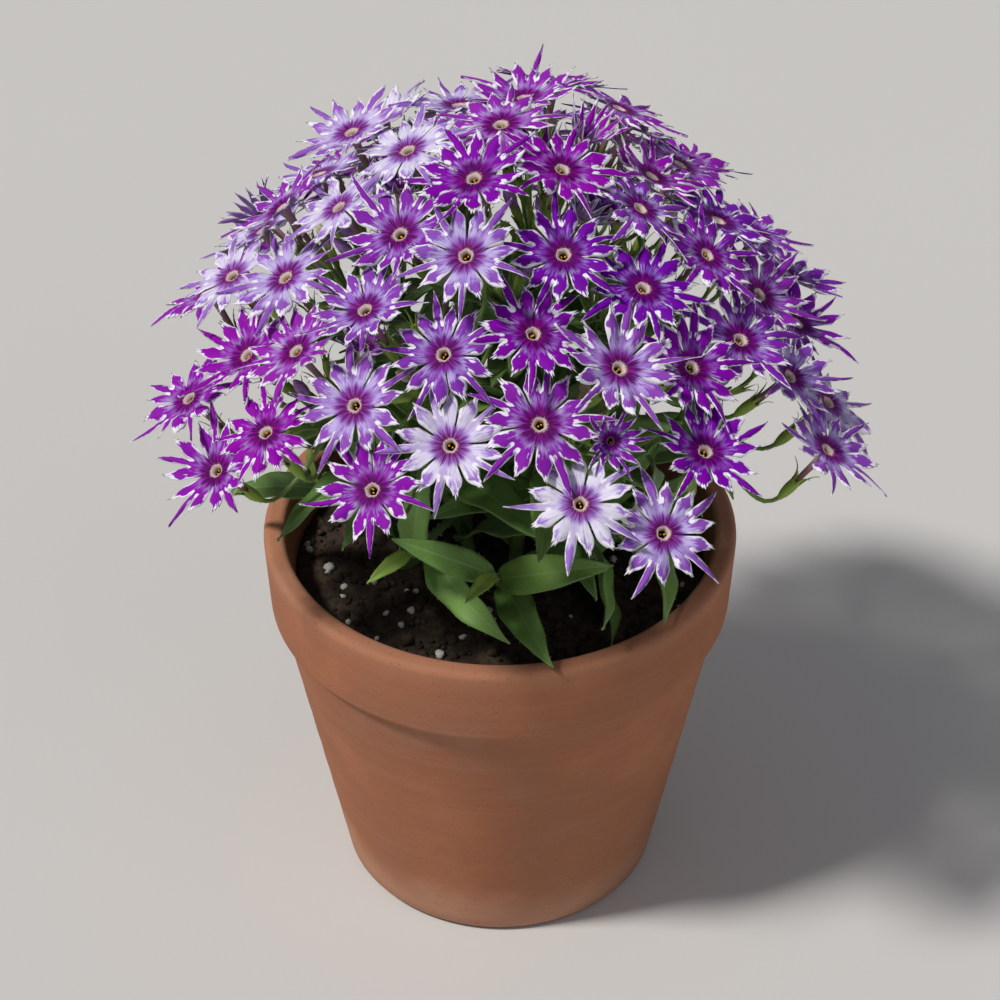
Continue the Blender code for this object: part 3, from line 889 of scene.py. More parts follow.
    def star(self, bloom: Flower, path: Route, swell: float = 0.0) -> BMesh:
        """Makes a plain star, down to the top of its tube, which stands for a bloom's petals in the plan.

        Args:
            bloom: The bloom.
            path: Its stalk's route.
            swell: How far the star is swollen.

        Returns:
            A new bmesh.
        """
        place = bloom.place()
        points = self.petals * len(self.petal_rim)
        bm = bmesh.new()
        bmesh.ops.create_circle(bm, cap_ends=True, cap_tris=True, segments=points, radius=1)
        middle = min(bm.verts, key=lambda vert: vert.co.length)
        rim = [vert for vert in bm.verts if vert is not middle]
        outer = [edge for edge in bm.edges if middle not in edge.verts]
        before = set(bm.edges)
        point, radius = path[0]
        way = -bloom.facing
        across = way.cross(place.to_3x3().col[0]).normalized()
        turned_down = Matrix((way.cross(across).normalized(), across, way.normalized())).transposed()
        matrix = place.inverted() @ Matrix.Translation(point) @ turned_down.to_4x4()
        sides, radius = self.stalk_sides, radius + swell
        bmesh.ops.create_circle(bm, cap_ends=True, segments=sides, radius=radius, matrix=matrix)
        inner = [edge for edge in bm.edges if edge not in before]
        bmesh.ops.bridge_loops(bm, edges=outer + inner)
        for vert in rim:
            index = round(math.atan2(vert.co.y, vert.co.x) / FULL_TURN * points) % points
            vert.co = self.rim_point(bloom, index, swell)
        middle.co = Vector((0, 0, swell - self.throat_sink))
        bmesh.ops.triangulate(bm, faces=bm.faces)
        bmesh.ops.recalc_face_normals(bm, faces=bm.faces)
        bm.transform(place)
        return bm

    def blade(self, length: float, place: Matrix, stations: tuple, swell: float = 0.0) -> BMesh:
        """Makes a plain blade along +X, which stands for a leaf in the plan.

        Args:
            length: The leaf's length.
            place: Its frame.
            stations: Shares of its length, and its width there against its widest.
            swell: How far the blade is swollen.

        Returns:
            A new bmesh.
        """
        bm = cone(4)
        for share, _ in stations[1:]:
            geometry = [*bm.verts, *bm.edges, *bm.faces]
            bmesh.ops.bisect_plane(bm, geom=geometry, dist=0.0001, plane_co=(0, 0, share), plane_no=(0, 0, 1))
        for face in [face for face in bm.faces if len(face.verts) == 4]:
            start = min(face.verts, key=lambda vert: (round(vert.co.z, 3), abs(vert.co.x)))
            end = max(face.verts, key=lambda vert: (round(vert.co.z, 3), abs(vert.co.x)))
            if end.co.z > start.co.z + 0.01:
                bmesh.utils.face_split(face, start, end)
        widths = dict(stations)
        half_width = length * self.leaf_width_share / 2
        for vert in bm.verts:
            share = vert.co.z
            width = widths.get(round(share, 3), 0) * half_width
            size = math.hypot(vert.co.x, vert.co.y)
            across, through = (vert.co.x / size, vert.co.y / size) if size > 0.001 else (0, 0)
            side = across * (width + swell)
            arched = length * self.leaf_arch * (share - self.leaf_droop * share * share)
            fullness = self.leaf_edge_share + (1 - self.leaf_edge_share) * width / half_width
            thick = through * (self.leaf_thickness / 2 * fullness + swell)
            vert.co = Vector((share * length, side, arched + abs(side) * self.leaf_fold + thick))
        bmesh.ops.triangulate(bm, faces=[face for face in bm.faces if len(face.verts) > 3])
        bmesh.ops.recalc_face_normals(bm, faces=bm.faces)
        bm.transform(place)
        return bm

    def plan_blooms(self) -> list[Flower]:
        """Lifts and spins every bloom until it is clear of the others.

        Returns:
            The blooms, without those that have no clear place.
        """
        blooms: list[Flower] = []
        rng = self.rng
        for count, (number, seat) in enumerate(self.plan_seats()):
            lean = Vector((rng.uniform(-1, 1), rng.uniform(-1, 1), 0)) * self.bloom_lean
            facing = (self.dome_facing(seat) + lean).normalized()
            size, cup = rng.uniform(*self.bloom_size), rng.uniform(*self.lobe_cup)
            bloom = Flower(number, facing, size, cup, count=count)
            bloom.curls = [rng.uniform(-self.tail_curl, self.tail_curl) for _ in range(self.petals)]
            height = rng.uniform(-self.bloom_heights, self.bloom_heights)
            start = rng.uniform(0, FULL_TURN)
            family = [f"stalk_{other.count}" for other in blooms if other.head == number]
            for lift, step in itertools.product(self.lifts, range(self.spins)):
                bloom.centre = seat + facing * (height + lift)
                bloom.spin = start + FULL_TURN / self.petals * step / self.spins
                path = self.stalk_path(bloom, self.bloom_stalk, self.heads[number])
                probe = self.star(bloom, path, self.bed.clearance)
                fits = self.bed.blade_is_clear(probe) and self.bed.rod_is_clear(path, family)
                probe.free()
                if fits:
                    bloom.path = path
                    self.bed.add_rod(f"stalk_{count}", path)
                    petals = self.star(bloom, path)
                    self.bed.add_blade(f"limb_{count}", petals)
                    petals.free()
                    blooms.append(bloom)
                    break
        return blooms

    def plan_buds(self) -> list[Flower]:
        """Sets closed buds among each head's stalks, where there is room.

        Returns:
            The buds.
        """
        buds = []
        rng = self.rng
        for number, head in enumerate(self.heads):
            found = 0
            for attempt in range(self.bud_tries):
                lean = Vector((rng.uniform(-1, 1), rng.uniform(-1, 1), 0)) * self.bud_lean
                facing = (head.axis + lean).normalized()
                bud = Flower(number, facing, count=len(buds))
                bud.centre = head.hub + facing * rng.uniform(*self.bud_reach)
                bud.path = self.stalk_path(bud, self.bud_stalk, head)
                if found < self.buds_per_head and self.bed.rod_is_clear(bud.path[:-1]):
                    self.bed.add_rod(f"bud_{number}_{attempt}", bud.path)
                    buds.append(bud)
                    found += 1
        return buds

    def sector_of(self, point: Vector) -> int:
        """Which stem's sector of the dome a point is in."""
        turn = (math.atan2(point.y, point.x) - self.first_sector) / FULL_TURN
        return round(turn * self.stem_count) % self.stem_count

    def curved(
        self,
        start: Vector,
        start_way: Vector,
        end: Vector,
        end_way: Vector,
        points: int,
        radii: tuple,
        bow: Vector = Vector(),
    ) -> Route:
        """Leads a route along a smooth arc.

        Args:
            start: Where it starts.
            start_way: The direction in which it leaves.
            end: Where it ends.
            end_way: The direction in which it arrives.
            points: How many points it has.
            radii: The radius at its start and end.
            bow: How far its middle is drawn aside.

        Returns:
            The route.
        """
        span = (end - start).length * self.branch_pull
        corners = (start, start + start_way * span + bow, end - end_way * span + bow, end)
        path = []
        for i in range(points):
            t = i / (points - 1)
            weights = ((1 - t) ** 3, 3 * t * (1 - t) ** 2, 3 * t * t * (1 - t), t**3)
            point = sum((corner * weight for corner, weight in zip(corners, weights)), Vector())
            path.append((point, radii[0] + (radii[1] - radii[0]) * t))
        return path

    def clear_curve(self, skip: list[str], *route: object) -> Route:
        """Bows a curved route to one side as far as it must be to keep clear of what is placed.

        Args:
            skip: The labels that it may touch.
            route: What the curve is made of.

        Returns:
            The route.
        """
        side = route[1].cross(route[2] - route[0]).normalized()
        for bow in self.branch_bows:
            path = self.curved(*route, side * bow)
            if self.bed.rod_is_clear(path, skip):
                return path
        return path

    def plan_shoot(self, skip: list[str], trunk: Route, turn: float, share: float) -> Route:
        """Leads a young side shoot, without flowers yet, out of the lower part of a trunk.

        Args:
            skip: The labels that it may touch.
            trunk: The trunk's route.
            turn: The side on which it leaves.
            share: How far up the trunk it leaves.

        Returns:
            The shoot's route.
        """
        start, _ = along(trunk, length_of(trunk) * share)
        outward = Vector((math.cos(turn), math.sin(turn), 0))
        end = outward * self.shoot_reach * self.rng.uniform(0.85, 1.1)
        end += UP * (self.soil_top + self.rng.uniform(*self.shoot_rise))
        start_way = (outward * 2 + UP).normalized()
        end_way = (outward + UP).normalized()
        return self.clear_curve(skip, start, start_way, end, end_way, self.shoot_points, self.shoot_radii)

    def plan_stems(self) -> list[Stem]:
        """Leads each stem's trunk, branches and shoots. A stem carries the heads of its sector of the dome.

        Returns:
            The stems, without leaves.
        """
        stems = []
        for i in range(self.stem_count):
            turn = self.first_sector + FULL_TURN * i / self.stem_count
            outward = Vector((math.cos(turn), math.sin(turn), 0))
            carried = [number for number, head in enumerate(self.heads) if self.sector_of(head.middle) == i]
            mean = sum((self.heads[number].hub for number in carried), Vector()) / len(carried)
            root = outward * self.root_circle
            collar = root + UP * self.soil_top
            fork = Vector((root.x, root.y, self.soil_top + self.fork_rise))
            fork += Vector((mean.x - root.x, mean.y - root.y, 0)) * self.fork_reach
            lean = (fork - collar).normalized()
            trunk = [(root + UP * (self.soil_top - self.root_depth + GAP), self.stem_radius)]
            foot = collar + UP * self.soil_mound
            trunk += self.curved(foot, UP, fork, lean, self.stem_points, (self.stem_radius, self.fork_radius))
            paths = [trunk]
            own = [f"stem_{i}_{number}" for number in range(self.most_paths)]
            self.bed.add_rod(own[0], trunk)
            for number in carried:
                head = self.heads[number]
                tip = head.hub + head.axis * (self.peduncle[-1][0] - GAP)
                way = (lean + (tip - fork).normalized()).normalized()
                skip = [*own, f"peduncle_{number}"]
                route = (fork - lean * MM, way, tip, head.axis, self.branch_points, self.branch_radii)
                path = self.clear_curve(skip, *route)
                self.bed.add_rod(own[len(paths)], path)
                paths.append(path)
            for swing, share in self.shoots:
                path = self.plan_shoot(own, trunk, turn + math.radians(swing), share)
                self.bed.add_rod(own[len(paths)], path)
                paths.append(path)
            stems.append(Stem(paths))
        return stems

    def clear_of_pot(self, point: Vector) -> bool:
        """Whether a point is above the pot, or well inside its rim."""
        above = point.z > self.pot_height + self.rim_margin
        return above or math.hypot(point.x, point.y) < self.pot_inside - self.rim_margin

    def place_leaf(
        self, label: str, point: Vector, way: Vector, turn: float, length: float, pitch: float, tuft: bool
    ) -> Leaf | None:
        """A leaf on a stem at a point, turned, raised or shortened until it is clear.

        Args:
            label: The stem that it grows on.
            point: Where it grows.
            way: The stem's direction there.
            turn: Its wished direction round the stem.
            length: Its wished length.
            pitch: Its wished angle up from square to the stem.
            tuft: Whether it is one of a tuft.

        Returns:
            The leaf, or None if no place is clear.
        """
        stations = self.tuft_stations if tuft else self.leaf_stations
        side = way.orthogonal().normalized()
        for scale, raise_by, swing in itertools.product(self.leaf_scales, self.leaf_raises, self.leaf_turns):
            outward = Matrix.Rotation(turn + math.radians(swing), 3, way) @ side
            place = leaf_place(point, way, outward, pitch + math.radians(raise_by))
            probe = self.blade(length * scale, place, stations, self.bed.clearance)
            fits = self.bed.blade_is_clear(probe, (label,))
            fits = fits and min(vert.co.z for vert in probe.verts) > self.soil_top + self.soil_mound
            fits = fits and all(self.clear_of_pot(vert.co) for vert in probe.verts)
            probe.free()
            if fits:
                leaf = self.blade(length * scale, place, stations)
                self.bed.add_blade("leaf", leaf)
                leaf.free()
                return Leaf(place, length * scale, tuft)
        return None

    def plan_leaves(self) -> None:
        """Sets leaves in pairs up trunks, in a spiral up branches and shoots, and in tufts at their tips."""
        rng = self.rng
        for i, stem in enumerate(self.stems):
            found: list[Leaf | None] = []
            first_shoot = len(stem.paths) - len(self.shoots)
            for number, path in enumerate(stem.paths):
                label = f"stem_{i}_{number}"
                reach = length_of(path)
                distance = self.root_depth + self.leaf_step if number == 0 else self.first_leaf
                turn = rng.uniform(0, FULL_TURN)
                while distance < reach - self.tip_margin:
                    point, way = along(path, distance)
                    share = distance / reach if number else 0
                    length = self.leaf_length[1] + (self.leaf_length[0] - self.leaf_length[1]) * share
                    length *= rng.uniform(0.9, 1.1)
                    pitch = self.leaf_pitch * rng.uniform(0.5, 1.2)
                    for side in range(2 if number == 0 else 1):
                        turned_by = turn + math.pi * side
                        found.append(self.place_leaf(label, point, way, turned_by, length, pitch, False))
                    turn += GOLDEN_ANGLE
                    distance += self.leaf_step * rng.uniform(0.85, 1.15)
                if number >= first_shoot:
                    point, way = along(path, reach - MM)
                    for step in range(self.tuft_leaves):
                        turn = FULL_TURN * step / self.tuft_leaves
                        args = (turn, self.tuft_length, self.tuft_pitch, True)
                        found.append(self.place_leaf(label, point, way, *args))
            stem.leaves = [leaf for leaf in found if leaf]


@dataclass(frozen=True)
class Undergrowth:
    """Small leaves close under each flower head, placed after the plan wherever they have room."""

    steps: int = 7
    first: float = 3 * MM
    spacing: float = 6.5 * MM
    lengths: tuple = (26 * MM, 16 * MM)
    pitch: float = math.radians(42)

    def add_to(self, plan: PlantingPlan) -> None:
        """Adds the leaves to the plan's stems.

        Args:
            plan: The plan.
        """
        for i, stem in enumerate(plan.stems):
            for number, path in enumerate(stem.paths[1 : -len(plan.shoots)], 1):
                reach = length_of(path)
                for step in range(self.steps):
                    point, way = along(path, reach - self.first - self.spacing * step)
                    length = self.lengths[step % 2]
                    turn = GOLDEN_ANGLE * (step + 3 * number + i) + 1
                    leaf = plan.place_leaf(f"stem_{i}_{number}", point, way, turn, length, self.pitch, False)
                    if leaf:
                        stem.leaves.append(leaf)


def length_of(path: Route) -> float:
    """The length of a route."""
    return sum((end - start).length for (start, _), (end, _) in itertools.pairwise(path))


def along(path: Route, distance: float) -> tuple[Vector, Vector]:
    """Walks along a route.

    Args:
        path: The route.
        distance: How far to walk.

    Returns:
        The point there, and the route's direction.
    """
    for (start, _), (end, _) in itertools.pairwise(path):
        length = (end - start).length
        if distance <= length:
            return start.lerp(end, distance / length), (end - start) / length
        distance -= length
    raise ValueError("the distance is past the end of the route")


def leaf_place(point: Vector, stem_way: Vector, outward: Vector, pitch: float) -> Matrix:
    """Works out a leaf's frame, with its upper face towards the stem's tip.

    Args:
        point: Where it grows.
        stem_way: The stem's direction there.
        outward: The side on which it leaves the stem.
        pitch: Its angle up from square to the stem.

    Returns:
        The frame, with the leaf's length along X.
    """
    length_way = (outward * math.cos(pitch) + stem_way * math.sin(pitch)).normalized()
    face_way = (stem_way - length_way * stem_way.dot(length_way)).normalized()
    side_way = face_way.cross(length_way)
    turned_out = Matrix((length_way, side_way, face_way)).transposed().to_4x4()
    return Matrix.Translation(point) @ turned_out


# Blooms


@dataclass
class Habit:
    """How a bloom differs from the plain star, with a row for each petal and a column for each ribbon."""

    stretch: Array
    skew: Array
    bow: Array
    roll: Array
    bend: Array
    twist: Array
    breadth: Array
    tilt: Array
    tooth: Array

    @classmethod
    def drawn(cls, rng: Draw, petals: int) -> "Habit":
        """Draws a bloom's habit.

        Args:
            rng: The bloom's own draw.
            petals: How many petals it has.

        Returns:
            The habit. Lengths are in millimetres and turns in radians.
        """
        shape = (petals, 3)
        tail = np.array([0, 1, 0])
        return cls(
            stretch=rng.uniform(-0.5, 0.5, shape),
            skew=rng.uniform(-0.35, 0.35, shape),
            bow=rng.uniform(0.1, 1.5, shape),
            roll=rng.uniform(-1.4, 1.6, shape),
            bend=rng.uniform(-1, 1, shape) * (0.35 + 1.5 * tail),
            twist=rng.uniform(-1.1, 1.1, shape) * tail,
            breadth=rng.uniform(0, 1, shape) ** 1.4,
            tilt=np.repeat(rng.uniform(-1.0, 1.2, (petals, 1)), 3, axis=1),
            tooth=rng.uniform(0.5, 1.3, shape),
        )

    @classmethod
    def plain(cls, petals: int) -> "Habit":
        """The habit of the plain star."""
        none = np.zeros((petals, 3))
        return cls(none, none, none, none, none, none, none + 0.4, none, none + 0.9)


@dataclass(frozen=True)
class Limb:
    """The star on top of a bloom, in millimetres: each petal has two toothed lobes and a long tail."""

    petals: int = 5
    low_reach: tuple = (1.55, 2.3, 3.1, 4.0, 5.1, 6.4, 7.6)
    slit_row: int = 3
    columns: tuple = (8, 2, 8)
    rows: tuple = (11, 14, 11)
    seam: float = math.radians(8)
    half_sector: float = math.radians(36)
    slit_gap: float = math.radians(2.6)
    lobe_reach: float = 12.9
    lobe_round: float = 2.0
    tail_reach: float = 17.6
    lobe_shares: tuple = (1, 1.14, 1.16, 0.98, 0.62)
    tail_shares: tuple = (1, 0.76, 0.68, 0.6, 0.46, 0.26, 0.04)
    broad_tail: tuple = (1, 1.16, 1.28, 1.2, 0.95, 0.52, 0.05)
    teeth: tuple = (-0.15, -0.65, 0.35, -0.8, 0.8, -0.75, 0.4, -0.65, -0.15)
    cup_reach: float = 12.4
    cup_power: float = 2.2
    tail_cup: float = 1.3
    thickness: float = 0.16

    @property
    def notch_row(self) -> int:
        """The row at which the tail and the lobes part."""
        return len(self.low_reach) - 1

    @property
    def notch_reach(self) -> float:
        """The distance from the centre at which the tail and the lobes part."""
        return self.low_reach[-1]

    def surface(
        self,
        sheet: Form,
        across: Array,
        row: Array,
        habit: Habit,
        cup: float = 0.0,
        curls: Sequence[float] = (0,) * 5,
    ) -> tuple[Array, Array, Array]:
        """Works out where the star's points are.

        Args:
            sheet: The star's sheet, with the marks petal and ribbon.
            across: Each point's place across its ribbon, from -1 to 1.
            row: Each point's row, counted from the throat.
            habit: How the ribbons differ.
            cup: The height of the lobes' tips.
            curls: The further height of each petal's tail.

        Returns:
            The distance from the centre, the angle round it from the petal's middle, and the height.
        """
        petal = sheet.marks["petal"].astype(int)
        ribbon = sheet.marks["ribbon"].astype(int)
        side, is_tail = ribbon - 1, ribbon == 1
        rise = np.clip(row - self.notch_row, 0, None) / (np.array(self.rows)[ribbon] - self.notch_row)
        pick = petal, ribbon
        tooth = np.interp(across, np.linspace(-1, 1, len(self.teeth)), self.teeth) * habit.tooth[pick]
        rounding = self.lobe_round * np.abs(across - habit.skew[pick]) ** 1.6
        lobe_tip = self.lobe_reach - rounding + tooth * rise**3
        tip = np.where(is_tail, self.tail_reach, lobe_tip) + habit.stretch[pick]
        low = np.interp(row, np.arange(len(self.low_reach)), self.low_reach)
        reach = np.where(rise > 0, self.notch_reach + (tip - self.notch_reach) * rise, low)
        slit_start, slit_end = self.low_reach[self.slit_row : self.slit_row + 2]
        gap = self.slit_gap * np.where(rise > 0, 1, smooth_step(reach, slit_start, slit_end))
        from_seam = (1 + side * across) / 2
        lobe_angle = side * (self.seam + (self.half_sector - self.seam - gap) * from_seam)
        low_angle = np.where(is_tail, across * self.seam, lobe_angle)
        lobe_half = self.notch_reach * (self.half_sector - self.slit_gap - self.seam) / 2
        lobe_half = lobe_half * np.interp(rise, np.linspace(0, 1, len(self.lobe_shares)), self.lobe_shares)
        stations = np.linspace(0, 1, len(self.tail_shares))
        slim, broad = np.interp(rise, stations, self.tail_shares), np.interp(rise, stations, self.broad_tail)
        tail_half = self.notch_reach * self.seam * (slim + (broad - slim) * habit.breadth[pick])
        twist = habit.twist[pick] * rise
        offset = across * np.where(is_tail, tail_half, lobe_half)
        axis = side * (self.seam + self.half_sector - self.slit_gap) / 2
        high_angle = axis + (offset * np.cos(twist) + habit.bend[pick] * rise**2) / reach
        angle = np.where(rise > 0, high_angle, low_angle)
        lift = cup * (reach / self.cup_reach) ** self.cup_power
        notch_lift = cup * (self.notch_reach / self.cup_reach) ** self.cup_power
        curl = np.array(curls)[petal] * rise**1.5
        tail_lift = notch_lift + (cup * self.tail_cup - notch_lift) * rise + curl
        tail_lift = tail_lift + offset * np.sin(twist) + 0.3 * np.abs(offset) * np.minimum(rise * 3, 1)
        height = np.where(is_tail & (rise > 0), tail_lift, lift)
        weight = smooth_step(reach, slit_start, self.notch_reach + 1)
        lobe_form = habit.bow[pick] * 4 * from_seam * (1 - from_seam) + habit.roll[pick] * from_seam
        tail_form = habit.bow[pick] * 0.6 * (1 - across**2)
        height = height + weight * np.where(is_tail, tail_form, lobe_form)
        height = height + weight * habit.tilt[pick] * reach / self.cup_reach
        return reach, angle, height - 0.35 * (1 - smooth_step(reach, self.low_reach[0], 3.2))

    @cache
    def sheet(self) -> Form:
        """Makes the star as a flat closed sheet.

        Returns:
            A form with the marks petal, ribbon, across, along (the row), under, and edge (the distance to the
            nearest cut edge).
        """
        bm = bmesh.new()
        keys = ("petal", "ribbon", "across", "along", "edge")
        layers = {key: bm.verts.layers.float.new(key) for key in keys}
        for petal, ribbon in itertools.product(range(self.petals), range(3)):
            columns, rows = self.columns[ribbon], self.rows[ribbon]
            for vert in bmesh.ops.create_grid(bm, x_segments=rows, y_segments=columns, size=1)["verts"]:
                vert[layers["petal"]], vert[layers["ribbon"]] = petal, ribbon
                vert[layers["across"]], vert[layers["along"]] = vert.co.y, (vert.co.x + 1) / 2 * rows
        bm.verts.index_update()
        loose = Form(np.zeros((0, 3)), np.zeros(0), np.zeros(0))
        loose.marks = {key: np.array([vert[layer] for vert in bm.verts]) for key, layer in layers.items()}
        across, row = loose.marks["across"], loose.marks["along"]
        reach, angle, _ = self.surface(loose, across, row, Habit.plain(self.petals))
        turn = angle + (loose.marks["petal"] + 0.5) * FULL_TURN / self.petals
        for vert, distance, way in zip(bm.verts, reach, turn):
            vert.co = Vector((distance * math.cos(way), distance * math.sin(way), 0))
        bmesh.ops.remove_doubles(bm, verts=bm.verts, dist=0.002)
        base = self.low_reach[0] + 0.1
        rims = [edge for edge in bm.edges if edge.is_boundary]
        cuts = [edge for edge in rims if max(vert.co.length for vert in edge.verts) > base]
        starts = np.array([edge.verts[0].co[:2] for edge in cuts])
        spans = np.array([edge.verts[1].co[:2] for edge in cuts]) - starts
        for vert in bm.verts:
            share = np.clip(((vert.co[:2] - starts) * spans).sum(1) / (spans**2).sum(1), 0, 1)
            nearest = starts + spans * share[:, None]
            vert[layers["edge"]] = np.linalg.norm(nearest - vert.co[:2], axis=1).min()
        closed_shell(bm)
        return Form.of(bm)

    def form(self, bloom: Flower, habit: Habit) -> Form:
        """A bloom's star in its own frame, in metres, with the marks lay and tail.

        Args:
            bloom: The bloom's cup, curls and size.
            habit: How its ribbons differ.

        Returns:
            The closed form.
        """
        sheet = self.sheet()
        cup, curls = bloom.cup / MM, [curl / MM for curl in bloom.curls]

        def surface(across: Array, row: Array) -> Array:
            """Works out the upper face.

            Args:
                across: Each point's place across its ribbon.
                row: Each point's row.

            Returns:
                The points in metres.
            """
            reach, angle, height = self.surface(sheet, across, row, habit, cup, curls)
            way = angle + (sheet.marks["petal"] + 0.5) * FULL_TURN / self.petals
            reach = reach * bloom.size
            return stacked(reach * np.cos(way), reach * np.sin(way), height) * MM

        made = shelled(sheet, surface, self.thickness * MM)
        reach, angle, _ = self.surface(sheet, sheet.marks["across"], sheet.marks["along"], habit)
        way = angle + (sheet.marks["petal"] + 0.5) * FULL_TURN / self.petals
        made.marks["lay"] = stacked(way * 10, reach, sheet.marks["edge"])
        made.marks["tail"] = np.where(sheet.marks["ribbon"] == 1, 1 - 0.5 * np.abs(sheet.marks["across"]), 0)
        return made


class Tone(Enum):
    """How pale and how blue a head's blooms are: the least and most of each."""

    MAGENTA = ((0.0, 0.15), (0.0, 0.35))
    LAVENDER = ((0.0, 0.8), (0.3, 0.8))
    PURPLE = ((0.0, 0.2), (0.45, 1.0))


@dataclass(frozen=True)
class BloomMaker:
    """Makes a bloom's coloured parts: its star, its tube with the throat, and its anthers. In millimetres."""

    limb: Limb = Limb()
    tube_profile: tuple = (
        (0, -5.4),
        (0.7, -5.2),
        (0.8, -3.2),
        (0.92, -1.9),
        (1.1, -1.15),
        (1.34, -0.55),
        (1.58, -0.22),
        (1.78, -0.16),
        (1.9, -0.42),
        (1.6, -1.1),
        (1.2, -2.4),
        (1.0, -4.5),
        (0.85, -8),
        (0.78, -12),
        (0.8, -14.6),
        (0, -15),
    )
    throat_stations: int = 7
    tube_steps: int = 20
    mouth_corners: float = 0.07
    anther_count: int = 2
    anther_size: tuple = (0.26, 0.26, 0.5)
    anther_depths: tuple = (1.0, 2.0)
    anther_ring: float = 0.42
    pale_bias: float = 1.35

    def form(self, bloom: Flower, tone: Tone) -> Form:
        """A bloom's coloured parts at their place on the plant.

        Args:
            bloom: The bloom.
            tone: Its head's tone.

        Returns:
            One form with the marks part, lay, tone and seed.
        """
        rng = np.random.default_rng(Seed.BLOOM + bloom.count)
        (pale_low, pale_high), (blue_low, blue_high) = tone.value
        pale = pale_low + (pale_high - pale_low) * rng.uniform() ** self.pale_bias
        blue = rng.uniform(blue_low, blue_high)
        seed = rng.uniform(0, 1)
        star = self.limb.form(bloom, Habit.drawn(rng, self.limb.petals))
        colour = stacked(pale, blue, star.marks["tail"])
        made = [star.dressed(part=star.marks["under"] * Part.BACK, lay=star.marks["lay"], tone=colour)]
        tube = turned(self.tube_profile, self.tube_steps)
        inside = tube.marks["station"] < self.throat_stations + 0.5
        part = np.where(inside, Part.THROAT, Part.TUBE)
        x, y, z = tube.points.T
        turn = np.arctan2(y, x)
        swell = 1 + self.mouth_corners * np.cos(self.limb.petals * turn) * (z > -3)
        points = stacked(x * swell, y * swell, z)
        lay = stacked(turn * 10, -z, np.hypot(x, y))
        made.append(tube.moved(points * MM).dressed(part=part, lay=lay, tone=(pale, blue, 0)))
        grain = lumps(np.random.default_rng(Seed.ANTHER), 1, 1, 0.08)[0]
        start = rng.uniform(0, FULL_TURN)
        for i in range(self.anther_count):
            turn = start + FULL_TURN * i / self.anther_count
            depth = rng.uniform(*self.anther_depths)
            at = np.array([math.cos(turn) * self.anther_ring, math.sin(turn) * self.anther_ring, -depth])
            anther = grain.moved((grain.points * self.anther_size + at) * MM)
            made.append(anther.dressed(part=Part.ANTHER, lay=(0, depth, 0), tone=(pale, blue, 0)))
        whole = joined(made)
        whole.marks["seed"] = np.full(len(whole.points), seed)
        return whole.placed(bloom.place())


@dataclass(frozen=True)
class BudMaker:
    """Makes a bud's coloured part: a spindle of petals rolled round each other. In millimetres."""

    profile: tuple = (
        (0, -12.4),
        (0.82, -12),
        (0.86, -10),
        (1.02, -8.4),
        (1.32, -6.8),
        (1.5, -5.2),
        (1.42, -3.8),
        (1.1, -2.3),
        (0.62, -1.0),
        (0.25, -0.2),
        (0, 0.15),
    )
    steps: int = 20
    folds: int = 5
    fold_depth: float = 0.11
    twist: float = 0.75
    spent_share: float = 0.3
    spent_fold: float = 0.3

    def form(self, bud: Flower, tone: Tone) -> Form:
        """A bud's coloured part at its place on the plant.

        Args:
            bud: The bud.
            tone: Its head's tone.

        Returns:
            One form with the marks part, lay, tone and seed.
        """
        rng = np.random.default_rng(Seed.BUD + bud.count)
        plain = turned(self.profile, self.steps)
        x, y, z = plain.points.T
        turn = np.arctan2(y, x) + self.twist * z
        spent = rng.uniform() < self.spent_share
        depth = self.spent_fold if spent else self.fold_depth
        swell = (1 + depth * np.cos(self.folds * turn)) * (1 + spent * 0.25 * np.sin(z * 2.3 + turn))
        points = stacked(x * swell, y * swell, z) * MM
        (_, pale_high), (_, blue_high) = tone.value
        pale = rng.choice([rng.uniform(0.7, 1), rng.uniform(0, 0.3)])
        lay = stacked(self.folds * turn, -z, 0)
        part = Part.SPENT if spent else Part.BUD
        blue = blue_high * rng.uniform(0.3, 1)
        made = plain.moved(points).dressed(part=part, lay=lay, tone=(pale, blue, 0))
        made.marks["seed"] = np.full(len(z), rng.uniform(0, 1))
        return made.placed(bud.place())


# Green parts


